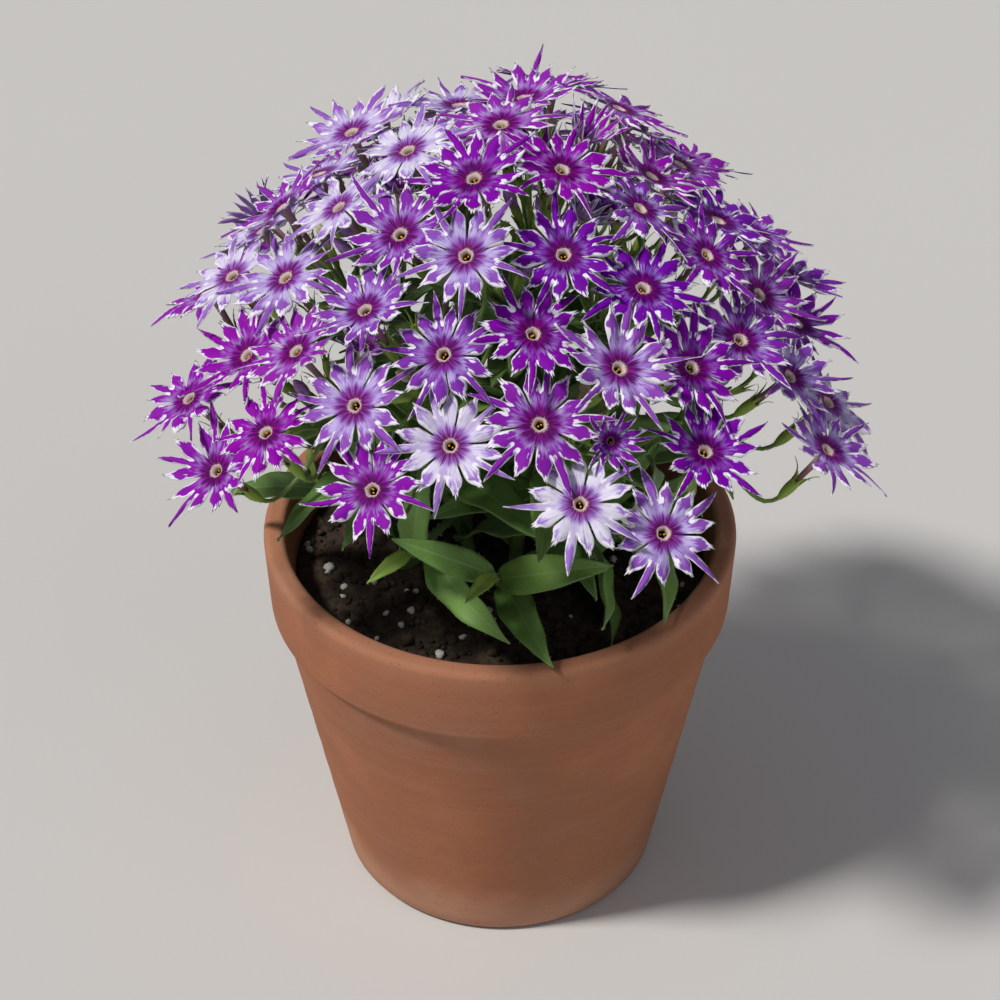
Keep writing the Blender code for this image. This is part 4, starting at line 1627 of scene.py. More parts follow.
@dataclass(frozen=True)
class Calyx:
    """The green cup below a tube: a ribbed urn with five long narrow teeth, and hairs. In millimetres."""

    middle: tuple = (0, 0, 17)
    profile: tuple = (
        (0, -21.1),
        (0.6, -20.9),
        (0.8, -20.1),
        (1.2, -18.6),
        (1.42, -16.8),
        (1.42, -15.2),
        (1.3, -13.6),
        (1.18, -12.9),
        (0.95, -13.1),
        (0.8, -14),
        (0, -14.2),
    )
    steps: int = 20
    ribs: int = 10
    rib_depth: float = 0.07
    teeth: int = 5
    tooth_length: tuple = (5.5, 7.5)
    tooth_width: float = 0.95
    tooth_flare: tuple = (0.3, 2.6)
    tooth_curl: float = 1.6
    tooth_taper: tuple = ((0, 0.25, 0.6, 1), (1, 0.8, 0.42, 0.04))
    tooth_root: tuple = (1.28, -13.9)
    tooth_thickness: float = 0.14
    hair_count: int = 70
    hair_length: float = 0.8
    hair_radius: float = 0.035

    def form(self, flower: Flower, scale: float, lift: float, seed: int) -> Form:
        """A calyx at its place under a flower.

        Args:
            flower: The bloom or bud.
            scale: Its size against a full one.
            lift: How much higher it sits than a full one, in millimetres.
            seed: The start of its own draw.

        Returns:
            One form with the marks part, lay and tone.
        """
        rng = np.random.default_rng(seed)
        plain = turned(self.profile, self.steps)
        x, y, z = plain.points.T
        swell = 1 + self.rib_depth * np.cos(self.ribs * np.arctan2(y, x))
        urn = plain.moved(stacked(x * swell, y * swell, z))
        light = rng.uniform(0.4, 1)
        made = [urn.dressed(part=Green.CALYX, lay=plain.points, tone=(light, 0.6, 0))]
        made += [self.tooth(rng, i, light) for i in range(self.teeth)]
        body = joined(made)
        fuzz = hairs_on(body, rng, self.hair_count, self.hair_length, self.hair_radius)
        whole = joined([body, fuzz.dressed(part=Green.HAIR, lay=(0, 0, 0), tone=(light, 0.5, 0))])
        points = (whole.points + self.middle) * scale - self.middle + (0, 0, lift)
        return whole.moved(points * MM).placed(flower.place())

    def tooth(self, rng: Draw, number: int, light: float) -> Form:
        """Makes one tooth, from the urn's rim up beside the tube and out.

        Args:
            rng: The calyx's draw.
            number: Which tooth it is.
            light: How light the calyx is.

        Returns:
            One form with the marks part, lay and tone.
        """
        length, flare = rng.uniform(*self.tooth_length), rng.uniform(*self.tooth_flare)
        curl, lean = rng.uniform(-0.4, 1) * self.tooth_curl, rng.normal(0, 0.6)
        turn = FULL_TURN * (number + 0.5) / self.teeth
        out = np.array([math.cos(turn), math.sin(turn), 0])
        side, up = np.array([-math.sin(turn), math.cos(turn), 0]), np.array([0, 0, 1])
        sheet = blade_sheet(2, 6)
        root, foot = self.tooth_root

        def surface(across: Array, share: Array) -> Array:
            """Works out the outer face.

            Args:
                across: Each point's place across the tooth.
                share: Each point's share of its length.

            Returns:
                The points.
            """
            half = self.tooth_width / 2 * np.interp(share, *self.tooth_taper)
            away = root + 0.1 * share + flare * share**2 + curl * share**4 + 0.15 * np.abs(across) * half
            height = foot + length * (share - 0.12 * share**3)
            return stacked(away, lean * share**2 - across * half, height) @ np.array([out, side, up])

        made = shelled(sheet, surface, self.tooth_thickness)
        share = sheet.marks["along"]
        lay = stacked(sheet.marks["across"], share, length)
        tone = stacked(light, 0.5 + 0.5 * share, 0.7 * share)
        return made.dressed(part=Green.CALYX, lay=lay, tone=tone)


@dataclass(frozen=True)
class LeafMaker:
    """Makes a leaf: entire and pointed, folded along its midrib, arched and a little waved."""

    columns: int = 8
    rows: int = 18
    width_share: float = 0.29
    fold: float = 0.3
    arch: float = 0.2
    droop: float = 1.6
    wave: float = 0.02
    thickness: float = 0.4 * MM
    hair_count: int = 45
    hair_length: float = 0.7 * MM
    hair_radius: float = 0.03 * MM

    def width(self, share: Array) -> Array:
        """The blade's width at shares of its length, against its widest."""
        return (share + 0.012) ** 0.55 * (1.003 - share) ** 0.95 / 0.388

    def blade(self, length: float, rng: Draw, columns: int, rows: int, droop: float) -> Form:
        """A leaf's blade along +X.

        Args:
            length: The blade's length.
            rng: The leaf's own draw.
            columns: Faces across.
            rows: Faces along.
            droop: How much the tip bends down.

        Returns:
            The closed form.
        """
        half = length * self.width_share / 2
        start, waves = rng.uniform(0, FULL_TURN), rng.uniform(2, 3.5)

        def surface(across: Array, share: Array) -> Array:
            """Works out the middle face.

            Args:
                across: Each point's place across the blade.
                share: Each point's share of its length.

            Returns:
                The points.
            """
            side = across * half * self.width(share)
            fold = self.fold * (np.sqrt(side**2 + (0.06 * half) ** 2) - 0.06 * half)
            ruffle = self.wave * length * across**2 * np.sin(start + share * waves * FULL_TURN + across)
            arched = length * self.arch * (share - droop * share**2)
            return stacked(share * length, side, arched + fold + ruffle * np.minimum(share * 5, 1))

        return shelled(blade_sheet(columns, rows), surface, self.thickness)

    def form(self, leaf: Leaf, seed: int) -> Form:
        """A leaf at its place, with hairs along its edge.

        Args:
            leaf: The leaf.
            seed: The start of its own draw.

        Returns:
            One form with the marks part, lay and tone.
        """
        rng = np.random.default_rng(seed)
        made = self.blade(leaf.length, rng, self.columns, self.rows, self.droop)
        across, share = made.marks["across"], made.marks["along"]
        half = leaf.length * self.width_share / 2 / MM
        lay = stacked(across * half * self.width(share), share * leaf.length / MM, across)
        light, young = rng.uniform(0, 1), 0.8
        if not leaf.tuft:
            light, young = light * 0.6, rng.uniform(0, 0.5)
        tone = (light, young, 0)
        body = made.dressed(part=made.marks["under"] * Green.UNDER, lay=lay, tone=tone)
        rim = np.flatnonzero(np.abs(across) > 0.99)
        roots = made.points[rng.choice(rim, self.hair_count)] + rng.normal(0, 0.12 * MM, (self.hair_count, 3))
        ways = stacked(0.4, np.sign(roots[:, 1]), rng.normal(0, 0.4, self.hair_count))
        fuzz = hairs(roots, ways, self.hair_length * rng.uniform(0.5, 1.2, self.hair_count), self.hair_radius)
        return joined([body, fuzz.dressed(part=Green.HAIR, lay=(0, 0, 0), tone=tone)]).placed(leaf.place)


@dataclass(frozen=True)
class StemMaker:
    """Makes round hairy stems and stalks."""

    spacing: float = 2.2 * MM
    hair_length: float = 0.85 * MM
    hair_radius: float = 0.035 * MM
    hairs_per_mm: float = 5.0

    def form(self, route: Route, sides: int, seed: int, red: float = 0.0) -> Form:
        """A stem along a route, with its hairs.

        Args:
            route: (point, radius) pairs.
            sides: Faces round the stem.
            seed: The start of its own draw.
            red: How red it is.

        Returns:
            One form with the marks part, lay and tone.
        """
        rng = np.random.default_rng(seed)
        points, radii = smoothed(route, self.spacing)
        made = rod(points, radii * (1 + rng.uniform(-0.03, 0.03, len(radii))), sides)
        lay = stacked(made.marks["round"], made.marks["row"] * self.spacing / MM, made.marks["row"])
        tone = (rng.uniform(0.3, 0.8), rng.uniform(0.2, 0.6), red)
        length = np.linalg.norm(np.diff(points, axis=0), axis=1).sum()
        count = int(length / MM * self.hairs_per_mm)
        fuzz = hairs_on(made, rng, count, self.hair_length, self.hair_radius)
        return joined(
            [
                made.dressed(part=Green.STEM, lay=lay, tone=tone),
                fuzz.dressed(part=Green.HAIR, lay=(0, 0, 0), tone=tone),
            ]
        )


@dataclass(frozen=True)
class HeadMaker:
    """Makes a flower head: its blooms and buds in one piece, and its green parts in another."""

    blooms: BloomMaker = BloomMaker()
    buds: BudMaker = BudMaker()
    calyx: Calyx = Calyx()
    stems: StemMaker = StemMaker()
    leaves: LeafMaker = LeafMaker()
    bract_count: int = 8
    bract_length: tuple = (8 * MM, 14 * MM)
    bract_pitch: tuple = (20, 62)
    bract_faces: tuple = (2, 7)
    bract_droop: tuple = (0.4, 1.4)
    bract_hairs: tuple = (24, 0.8 * MM, 0.03 * MM)
    bud_calyx: tuple = (0.82, 6.2)
    opening_count: int = 1
    opening_reach: tuple = (29 * MM, 35 * MM)
    opening_lean: float = 0.75
    opening_size: tuple = (0.48, 0.62)
    opening_cup: tuple = (3.5 * MM, 6.5 * MM)
    opening_curl: tuple = (-2, 1)
    opening_room: tuple = ((7 * MM, 5 * MM), (0, 2 * MM))
    opening_tries: int = 90
    opening: BloomMaker = BloomMaker(limb=Limb(columns=(4, 2, 4), rows=(9, 10, 9)), tube_steps=14)
    young_count: int = 3
    young_tries: int = 8
    young_reach: tuple = (15 * MM, 21 * MM)
    young_lean: tuple = (0.4, 0.9)
    young_size: tuple = (0.55, 0.75)
    young_height: float = 14 * MM
    young_room: float = MM
    young_stalk: float = 0.5 * MM
    stalk_bend: float = 0.35
    stalk_sides: int = 6
    hub_sides: int = 10

    def flowers(self, plan: PlantingPlan, opened: list[Flower], number: int, tone: Tone) -> Form:
        """Makes the coloured parts of one head.

        Args:
            plan: The plan.
            opened: The half open blooms.
            number: Which head it is.
            tone: Its tone.

        Returns:
            One form.
        """
        made = [self.blooms.form(bloom, tone) for bloom in plan.blooms if bloom.head == number]
        made += [self.opening.form(bloom, tone) for bloom in opened if bloom.head == number]
        made += [self.buds.form(bud, tone) for bud in plan.buds if bud.head == number]
        return joined(made)

    def greens(self, plan: PlantingPlan, opened: list[Flower], number: int) -> Form:
        """Makes the green parts of one head: the hub, stalks, cups, and the narrow bracts round the hub.

        Args:
            plan: The plan.
            opened: The half open blooms.
            number: Which head it is.

        Returns:
            One form.
        """
        head = plan.heads[number]
        rng = np.random.default_rng(Seed.HEAD + number)
        made = [self.stems.form(head.peduncle, self.hub_sides, Seed.PEDUNCLE + number)]
        for bloom in [*plan.blooms, *opened]:
            if bloom.head == number:
                made.append(self.calyx.form(bloom, 1.0, 0.0, Seed.BLOOM_CALYX + bloom.count))
                seed = Seed.BLOOM_STALK + bloom.count
                made.append(self.stems.form(self.stalk(bloom), self.stalk_sides, seed))
        for bud in plan.buds:
            if bud.head == number:
                made.append(self.calyx.form(bud, *self.bud_calyx, Seed.BUD_CALYX + bud.count))
                made.append(self.stems.form(self.stalk(bud), self.stalk_sides, Seed.BUD_STALK + bud.count))
        for i in range(self.young_count):
            made += self.young_bud(plan, head, rng, Seed.YOUNG + 10 * number + i)
        for i in range(self.bract_count):
            side = head.axis.orthogonal().normalized()
            outward = Matrix.Rotation(GOLDEN_ANGLE * i + number, 3, head.axis) @ side
            point = head.hub + outward * MM - head.axis * rng.uniform(0, 3) * MM
            place = leaf_place(point, head.axis, outward, math.radians(rng.uniform(*self.bract_pitch)))
            bract = Leaf(place, rng.uniform(*self.bract_length), True)
            made.append(self.bract(bract, Seed.BRACT + 20 * number + i))
        return joined(made)

    def open_more(self, plan: PlantingPlan) -> list[Flower]:
        """Half open blooms in the gaps between the others.

        Args:
            plan: The plan, which knows what is in the way.

        Returns:
            The half open blooms, which keep clear of what is there.
        """
        found = []
        rng = random.Random(Seed.OPENING)
        for number, head in enumerate(plan.heads):
            kept = 0
            for attempt in range(self.opening_tries):
                lean = Vector((rng.uniform(-1, 1), rng.uniform(-1, 1), 0)) * self.opening_lean
                bloom = Flower(number, (head.axis + lean).normalized(), rng.uniform(*self.opening_size))
                bloom.count = Seed.OPENED + self.opening_tries * number + attempt
                bloom.centre = head.hub + bloom.facing * rng.uniform(*self.opening_reach)
                bloom.cup = rng.uniform(*self.opening_cup)
                bloom.curls = [rng.uniform(*self.opening_curl) * MM for _ in range(plan.petals)]
                bloom.spin = rng.uniform(0, FULL_TURN)
                bloom.path = plan.stalk_path(bloom, plan.bloom_stalk, head)
                room = [(bloom.centre + bloom.facing * rise, radius) for rise, radius in self.opening_room]
                if kept < self.opening_count and plan.bed.rod_is_clear([*room, *bloom.path[:-1]]):
                    plan.bed.add_rod("opening", [*room, *bloom.path])
                    found.append(bloom)
                    kept += 1
        return found

    def young_bud(self, plan: PlantingPlan, head: Head, rng: Draw, seed: int) -> list[Form]:
        """A young green bud on a short stalk beside the hub, where there is room.

        Args:
            plan: The plan, which knows what is in the way.
            head: The flower head.
            rng: The head's draw.
            seed: The start of the bud's own draw.

        Returns:
            The forms of its cup and stalk, or none.
        """
        side = head.axis.orthogonal().normalized()
        for _ in range(self.young_tries):
            outward = Matrix.Rotation(rng.uniform(0, FULL_TURN), 3, head.axis) @ side
            facing = (head.axis + outward * rng.uniform(*self.young_lean)).normalized()
            bud = Flower(0, facing)
            size = rng.uniform(*self.young_size)
            tip = head.hub + facing * rng.uniform(*self.young_reach)
            low = head.hub + facing * 4 * MM
            bud.path = [(tip - facing * 5 * MM, self.young_room), (low, self.young_stalk)]
            bud.centre = tip + facing * self.young_height
            if plan.bed.rod_is_clear(bud.path):
                plan.bed.add_rod("young", bud.path)
                top = tip - facing * 4 * size * MM
                stalk = [(top, self.young_stalk), (head.hub, self.young_stalk)]
                return [self.calyx.form(bud, size, 0, seed), self.stems.form(stalk, self.stalk_sides, seed)]
        return []

    def stalk(self, flower: Flower) -> Route:
        """Leads a stalk from inside its cup, along an even bend, to the hub.

        Args:
            flower: The bloom or bud.

        Returns:
            The stalk's route.
        """
        (cup, cup_radius), (end, radius) = flower.path[-2:]
        elbow = cup - flower.facing * (end - cup).length * self.stalk_bend
        bend = [cup.lerp(elbow, t).lerp(elbow.lerp(end, t), t) for t in (0.25, 0.5, 0.75, 1)]
        inside = (cup + flower.facing * 2.5 * MM, cup_radius * 0.8)
        return [inside, (cup, cup_radius), *((point, radius) for point in bend)]

    def bract(self, leaf: Leaf, seed: int) -> Form:
        """A narrow bract at its place.

        Args:
            leaf: The bract's frame and length.
            seed: The start of its own draw.

        Returns:
            One form with the marks part, lay and tone.
        """
        rng = np.random.default_rng(seed)
        made = self.leaves.blade(leaf.length, rng, *self.bract_faces, rng.uniform(*self.bract_droop))
        across, share = made.marks["across"], made.marks["along"]
        lay = stacked(across * leaf.length * 0.1 / MM, share * leaf.length / MM, across)
        tone = (rng.uniform(0.4, 1), 0.9, 0)
        body = made.dressed(part=made.marks["under"] * Green.UNDER, lay=lay, tone=tone)
        fuzz = hairs_on(made, rng, *self.bract_hairs)
        fuzz = fuzz.dressed(part=Green.HAIR, lay=(0, 0, 0), tone=(0.7, 0.8, 0))
        return joined([body, fuzz]).placed(leaf.place)


# Pot and soil


def arc(centre: tuple, start: float, end: float, radius: float, steps: int) -> list[tuple[float, float]]:
    """Points of an arc in the plane of a turned profile, with angles in degrees."""
    angles = [math.radians(start + (end - start) * i / steps) for i in range(steps + 1)]
    return [(centre[0] + radius * math.cos(a), centre[1] + radius * math.sin(a)) for a in angles]


@dataclass(frozen=True)
class ClayPot:
    """A plain turned pot with a rim band and three drain holes."""

    height: float = 115 * MM
    rim_radius: float = 65 * MM
    foot_radius: float = 45 * MM
    wall: float = 6 * MM
    floor: float = 7 * MM
    rim_band: float = 24 * MM
    rim_step: float = 3.5 * MM
    lip_round: float = 2 * MM
    lip_steps: int = 6
    steps: int = 128
    wall_rows: int = 24
    throwing_depth: float = 0.07 * MM
    drain_holes: int = 3
    drain_radius: float = 5 * MM
    drain_circle: float = 24 * MM
    drain_sides: int = 32
    sharp_angle: float = math.radians(32)

    def wall_radius(self, height: float) -> float:
        """The outer radius below the rim band."""
        rise = self.height - self.rim_band
        return self.foot_radius + (self.rim_radius - self.rim_step - self.foot_radius) * height / rise

    def inner_radius(self, height: float) -> float:
        """The inner radius: a straight taper from the rim to the floor."""
        low = self.wall_radius(self.floor) - self.wall
        return low + (self.rim_radius - self.wall - low) * (height - self.floor) / (self.height - self.floor)

    def profile(self) -> tuple[tuple[float, float], ...]:
        """Draws the pot's profile, from the axis up the inside and down the outside.

        Returns:
            Its points as (radius, height).
        """
        lip, rounding = self.height - self.lip_round, (self.lip_round, self.lip_steps)
        band_foot = self.height - self.rim_band
        points = [(0, self.floor), (self.inner_radius(self.floor), self.floor)]
        points += arc((self.rim_radius - self.wall + self.lip_round, lip), 180, 90, *rounding)
        points += arc((self.rim_radius - self.lip_round, lip), 90, 0, *rounding)
        points += arc((self.rim_radius - 1.5 * self.lip_round, band_foot + self.lip_round), 0, -90, *rounding)
        top, low = band_foot - self.lip_round, self.lip_round
        for i in range(self.wall_rows + 1):
            height = top + (low - top) * i / self.wall_rows
            ring = self.throwing_depth * math.sin(i * 1.9) * math.sin(math.pi * i / self.wall_rows)
            points.append((self.wall_radius(height) + ring, height))
        points.append((self.foot_radius - 0.4 * self.lip_round, 0.2 * self.lip_round))
        return (*points, (self.foot_radius - self.lip_round, 0), (0, 0))

    def build(self, material: Material) -> Object:
        """Makes the pot, with its drain holes cut through its floor.

        Args:
            material: Its finish.

        Returns:
            The pot.
        """
        pot = made_object("clay_pot", turned(self.profile(), self.steps).dressed(), material)
        cutters = []
        for i in range(self.drain_holes):
            bm = bmesh.new()
            turn = Matrix.Rotation(FULL_TURN * i / self.drain_holes, 4, "Z")
            matrix = Matrix.Translation(turn @ Vector((self.drain_circle, 0, self.floor / 2)))
            sizes = {"radius1": self.drain_radius, "radius2": self.drain_radius, "depth": 2 * self.floor}
            bmesh.ops.create_cone(bm, cap_ends=True, segments=self.drain_sides, matrix=matrix, **sizes)
            cutters.append(made_object(f"drain_cutter_{i}", Form.of(bm), material))
            boolean = pot.modifiers.new("Cut", "BOOLEAN")
            boolean.operation, boolean.object = "DIFFERENCE", cutters[-1]
        mesh = bpy.data.meshes.new_from_object(pot.evaluated_get(bpy.context.evaluated_depsgraph_get()))
        pot.modifiers.clear()
        pot.data = mesh
        bm = bmesh.new()
        bm.from_mesh(mesh)
        bmesh.ops.dissolve_degenerate(bm, dist=0.01 * MM, edges=bm.edges)
        bm.to_mesh(mesh)
        bm.free()
        for cutter in cutters:
            bpy.data.objects.remove(cutter)
        mesh.shade_smooth()
        mesh.set_sharp_from_angle(angle=self.sharp_angle)
        return pot


@dataclass(frozen=True)
class Soil:
    """Crumbly potting soil: a mound with a rough top, loose crumbs and white grains on it."""

    pot: ClayPot = ClayPot()
    below_rim: float = 14 * MM
    mound: float = 5 * MM
    rings: int = 46
    steps: int = 120
    roughness: float = 0.9 * MM
    crumbs: int = 560
    crumb_radii: tuple = (0.7 * MM, 1.9 * MM)
    dust: int = 2200
    dust_radii: tuple = (0.2 * MM, 0.65 * MM)
    white_grains: int = 70
    white_radii: tuple = (0.6 * MM, 1.5 * MM)
    grain_kinds: int = 6
    grain_roughness: float = 0.24

    @property
    def top(self) -> float:
        """The height of the soil at its edge."""
        return self.pot.height - self.below_rim

    def height_at(self, x: Array, y: Array) -> Array:
        """Works out the height of the soil's rough top.

        Args:
            x: Places across the pot.
            y: Places along it.

        Returns:
            The height at each place.
        """
        edge = self.pot.inner_radius(self.top)
        share = np.hypot(x, y) / edge
        rough = np.sin(x * 410 + 1.3 * np.sin(y * 290)) * np.cos(y * 370 + 1.1 * np.sin(x * 330 + 2))
        rough = rough * 0.6 + 0.4 * np.sin(x * 1130 + y * 870) * np.sin(y * 1270 - x * 640 + 1)
        rough = rough * self.roughness * np.clip((1 - share) * 8, 0, 1)
        return self.top + self.mound * (1 - share**2) + rough

    def body(self) -> Form:
        """Makes the soil's body, which fills the pot to its inner wall.

        Returns:
            The closed form.
        """
        low = self.pot.floor + GAP
        edge = self.pot.inner_radius(self.top) - GAP
        shares = [i / self.rings for i in range(self.rings + 1)]
        profile = [(edge * share, self.top + MM * (1 - share)) for share in shares]
        form = turned((*profile, (self.pot.inner_radius(low) - GAP, low), (0, low)), self.steps)
        upper = form.points[:, 2] > self.top - 0.5 * MM
        height = self.height_at(form.points[:, 0], form.points[:, 1])
        points = form.points.copy()
        points[:, 2] = np.where(upper, height, points[:, 2])
        return form.moved(points)

    def scattered(self, rng: Draw, count: int, radii: tuple, subdivisions: int) -> Form:
        """Uneven grains lying on the soil.

        Args:
            rng: The draw of places and sizes.
            count: How many grains there are.
            radii: Their least and greatest radius.
            subdivisions: How fine each grain is.

        Returns:
            All grains as one form.
        """
        kinds = lumps(rng, self.grain_kinds, subdivisions, self.grain_roughness)
        made = []
        for kind in kinds:
            number = count // len(kinds)
            sizes = rng.uniform(0, 1, number) ** 2 * (radii[1] - radii[0]) + radii[0]
            reach = self.pot.inner_radius(self.top) - GAP - radii[1] * 1.2
            out = np.sqrt(rng.uniform(0, 1, number)) * reach
            turn = rng.uniform(0, FULL_TURN, number)
            x, y = out * np.cos(turn), out * np.sin(turn)
            z = self.height_at(x, y) + sizes * rng.uniform(-0.2, 0.5, number)
            turns = np.array([random_turn(rng) for _ in range(number)])
            places = np.concatenate([turns * sizes[:, None, None], stacked(x, y, z)[:, :, None]], axis=2)
            made.append(kind.stamped(places))
        return joined(made)

    def build(self, earth: Material, grains: Material) -> list[Object]:
        """Makes the soil with its crumbs, and the white grains as a piece of their own.

        Args:
            earth: The soil's finish.
            grains: The white grains' finish.

        Returns:
            The two pieces.
        """
        rng = np.random.default_rng(Seed.SOIL)
        crumbs = self.scattered(rng, self.crumbs, self.crumb_radii, 2)
        dust = self.scattered(rng, self.dust, self.dust_radii, 1)
        soil = joined([self.body().dressed(), crumbs.dressed(), dust.dressed()])
        white = self.scattered(rng, self.white_grains, self.white_radii, 2).dressed()
        return [made_object("crumbly_soil", soil, earth), made_object("white_grains", white, grains)]


def random_turn(rng: Draw) -> Array:
    """A turn drawn evenly from all turns, as a 3 by 3 matrix."""
    turn, _ = np.linalg.qr(rng.normal(0, 1, (3, 3)))
    return turn * np.sign(np.linalg.det(turn))


# Finishes


class Wire:
    """A shader socket that can be reckoned with: each operator adds its Math node."""

    def __init__(self, board: "Board", socket: bpy.types.NodeSocket) -> None:
        """Wraps a socket of a board."""
        self.board = board
        self.socket = socket

    def maths(self, operation: str, first: object, second: object = 0.0) -> "Wire":
        """A Math node on two values or wires."""
        return self.board.node("ShaderNodeMath", {"operation": operation}, {0: first, 1: second})

    def __add__(self, other: object) -> "Wire":
        """The sum."""
        return self.maths("ADD", self, other)

    def __sub__(self, other: object) -> "Wire":
        """The difference."""
        return self.maths("SUBTRACT", self, other)

    def __rsub__(self, other: object) -> "Wire":
        """The difference, turned round."""
        return self.maths("SUBTRACT", other, self)

    def __mul__(self, other: object) -> "Wire":
        """The product."""
        return self.maths("MULTIPLY", self, other)

    def __pow__(self, other: object) -> "Wire":
        """The power."""
        return self.maths("POWER", self, other)

    __radd__ = __add__
    __rmul__ = __mul__

    def absolute(self) -> "Wire":
        """The value without its sign."""
        return self.maths("ABSOLUTE", self)

    def wave(self) -> "Wire":
        """The sine."""
        return self.maths("SINE", self)

    def least(self, other: object) -> "Wire":
        """The smaller of two."""
        return self.maths("MINIMUM", self, other)

    def near(self, value: float) -> "Wire":
        """1 where the wire is within a half of a value, and 0 elsewhere."""
        return self.board.node("ShaderNodeMath", {"operation": "COMPARE"}, {0: self, 1: value, 2: 0.5})

    def step(self, low: object, high: object) -> "Wire":
        """0 below low, 1 above high, and an even rise between."""
        settings = {"interpolation_type": "SMOOTHSTEP"}
        return self.board.node("ShaderNodeMapRange", settings, {0: self, 1: low, 2: high, 3: 0.0, 4: 1.0})


class Board:
    """A material's node tree, with one method that adds any node."""

    def __init__(self, name: str, **constants: object) -> None:
        """Starts a material.

        Args:
            name: The material's name.
            constants: Values for the shader's sockets, with underscores for spaces.
        """
        self.material = bpy.data.materials.new(name)
        self.material.use_nodes = True
        self.tree = self.material.node_tree
        self.shader = self.tree.nodes["Principled BSDF"]
        for key, value in constants.items():
            self.shader.inputs[key.replace("_", " ")].default_value = value

    def node(self, kind: str, settings: dict, inputs: dict, output: int | str = 0) -> Wire:
        """Adds a node.

        Args:
            kind: The node's type.
            settings: Its properties, set first.
            inputs: Its sockets' values or wires, by number or name.
            output: Which output is returned.

        Returns:
            The output as a wire.
        """
        made = self.tree.nodes.new(kind)
        for key, value in settings.items():
            setattr(made, key, value)
        for key, value in inputs.items():
            if isinstance(value, Wire):
                self.tree.links.new(value.socket, made.inputs[key])
            else:
                made.inputs[key].default_value = value
        return Wire(self, made.outputs[output])

    def mark(self, name: str) -> Wire:
        """A point's mark, as a vector."""
        return self.node("ShaderNodeAttribute", {"attribute_name": name}, {}, "Vector")

    def number(self, name: str) -> Wire:
        """A point's mark, as a number."""
        return self.node("ShaderNodeAttribute", {"attribute_name": name}, {}, "Fac")

    def split(self, vector: Wire) -> tuple[Wire, Wire, Wire]:
        """The three numbers of a vector."""
        parts = self.node("ShaderNodeSeparateXYZ", {}, {0: vector}).socket.node.outputs
        return tuple(Wire(self, part) for part in parts)

    def vector(self, x: object, y: object, z: object = 0.0) -> Wire:
        """A vector of three numbers."""
        return self.node("ShaderNodeCombineXYZ", {}, {0: x, 1: y, 2: z})

    def object_place(self) -> Wire:
        """The point's place in the row frame."""
        return self.node("ShaderNodeTexCoord", {}, {}, "Object")

    def noise(self, vector: Wire, scale: float, detail: float = 2.0, roughness: float = 0.5) -> Wire:
        """Fractal noise from 0 to 1."""
        inputs = {"Vector": vector, "Scale": scale, "Detail": detail, "Roughness": roughness}
        return self.node("ShaderNodeTexNoise", {}, inputs, 0)

    def cells(self, vector: Wire, scale: float, feature: str = "F1") -> Wire:
        """The distance to the nearest of scattered points."""
        return self.node("ShaderNodeTexVoronoi", {"feature": feature}, {"Vector": vector, "Scale": scale}, 0)

    def mix(self, factor: object, first: object, second: object) -> Wire:
        """A colour between two."""
        first, second = (value if isinstance(value, Wire) else (*value, 1) for value in (first, second))
        return self.node("ShaderNodeMix", {"data_type": "RGBA"}, {0: factor, 6: first, 7: second}, 2)

    def finish(
        self,
        colour: Wire,
        roughness: object,
        height: Wire | None = None,
        strength: float = 0.3,
        depth: float = MM,
    ) -> Material:
        """Joins colour, roughness and relief to the shader.

        Args:
            colour: The base colour.
            roughness: The roughness.
            height: The relief, from 0 to 1.
            strength: How strong the relief is.
            depth: How deep the relief is.

        Returns:
            The material.
        """
        self.tree.links.new(colour.socket, self.shader.inputs["Base Color"])
        if isinstance(roughness, Wire):
            self.tree.links.new(roughness.socket, self.shader.inputs["Roughness"])
        else:
            self.shader.inputs["Roughness"].default_value = roughness
        if height is not None:
            inputs = {"Strength": strength, "Distance": depth, "Height": height}
            bump = self.node("ShaderNodeBump", {}, inputs)
            self.tree.links.new(bump.socket, self.shader.inputs["Normal"])
        return self.material


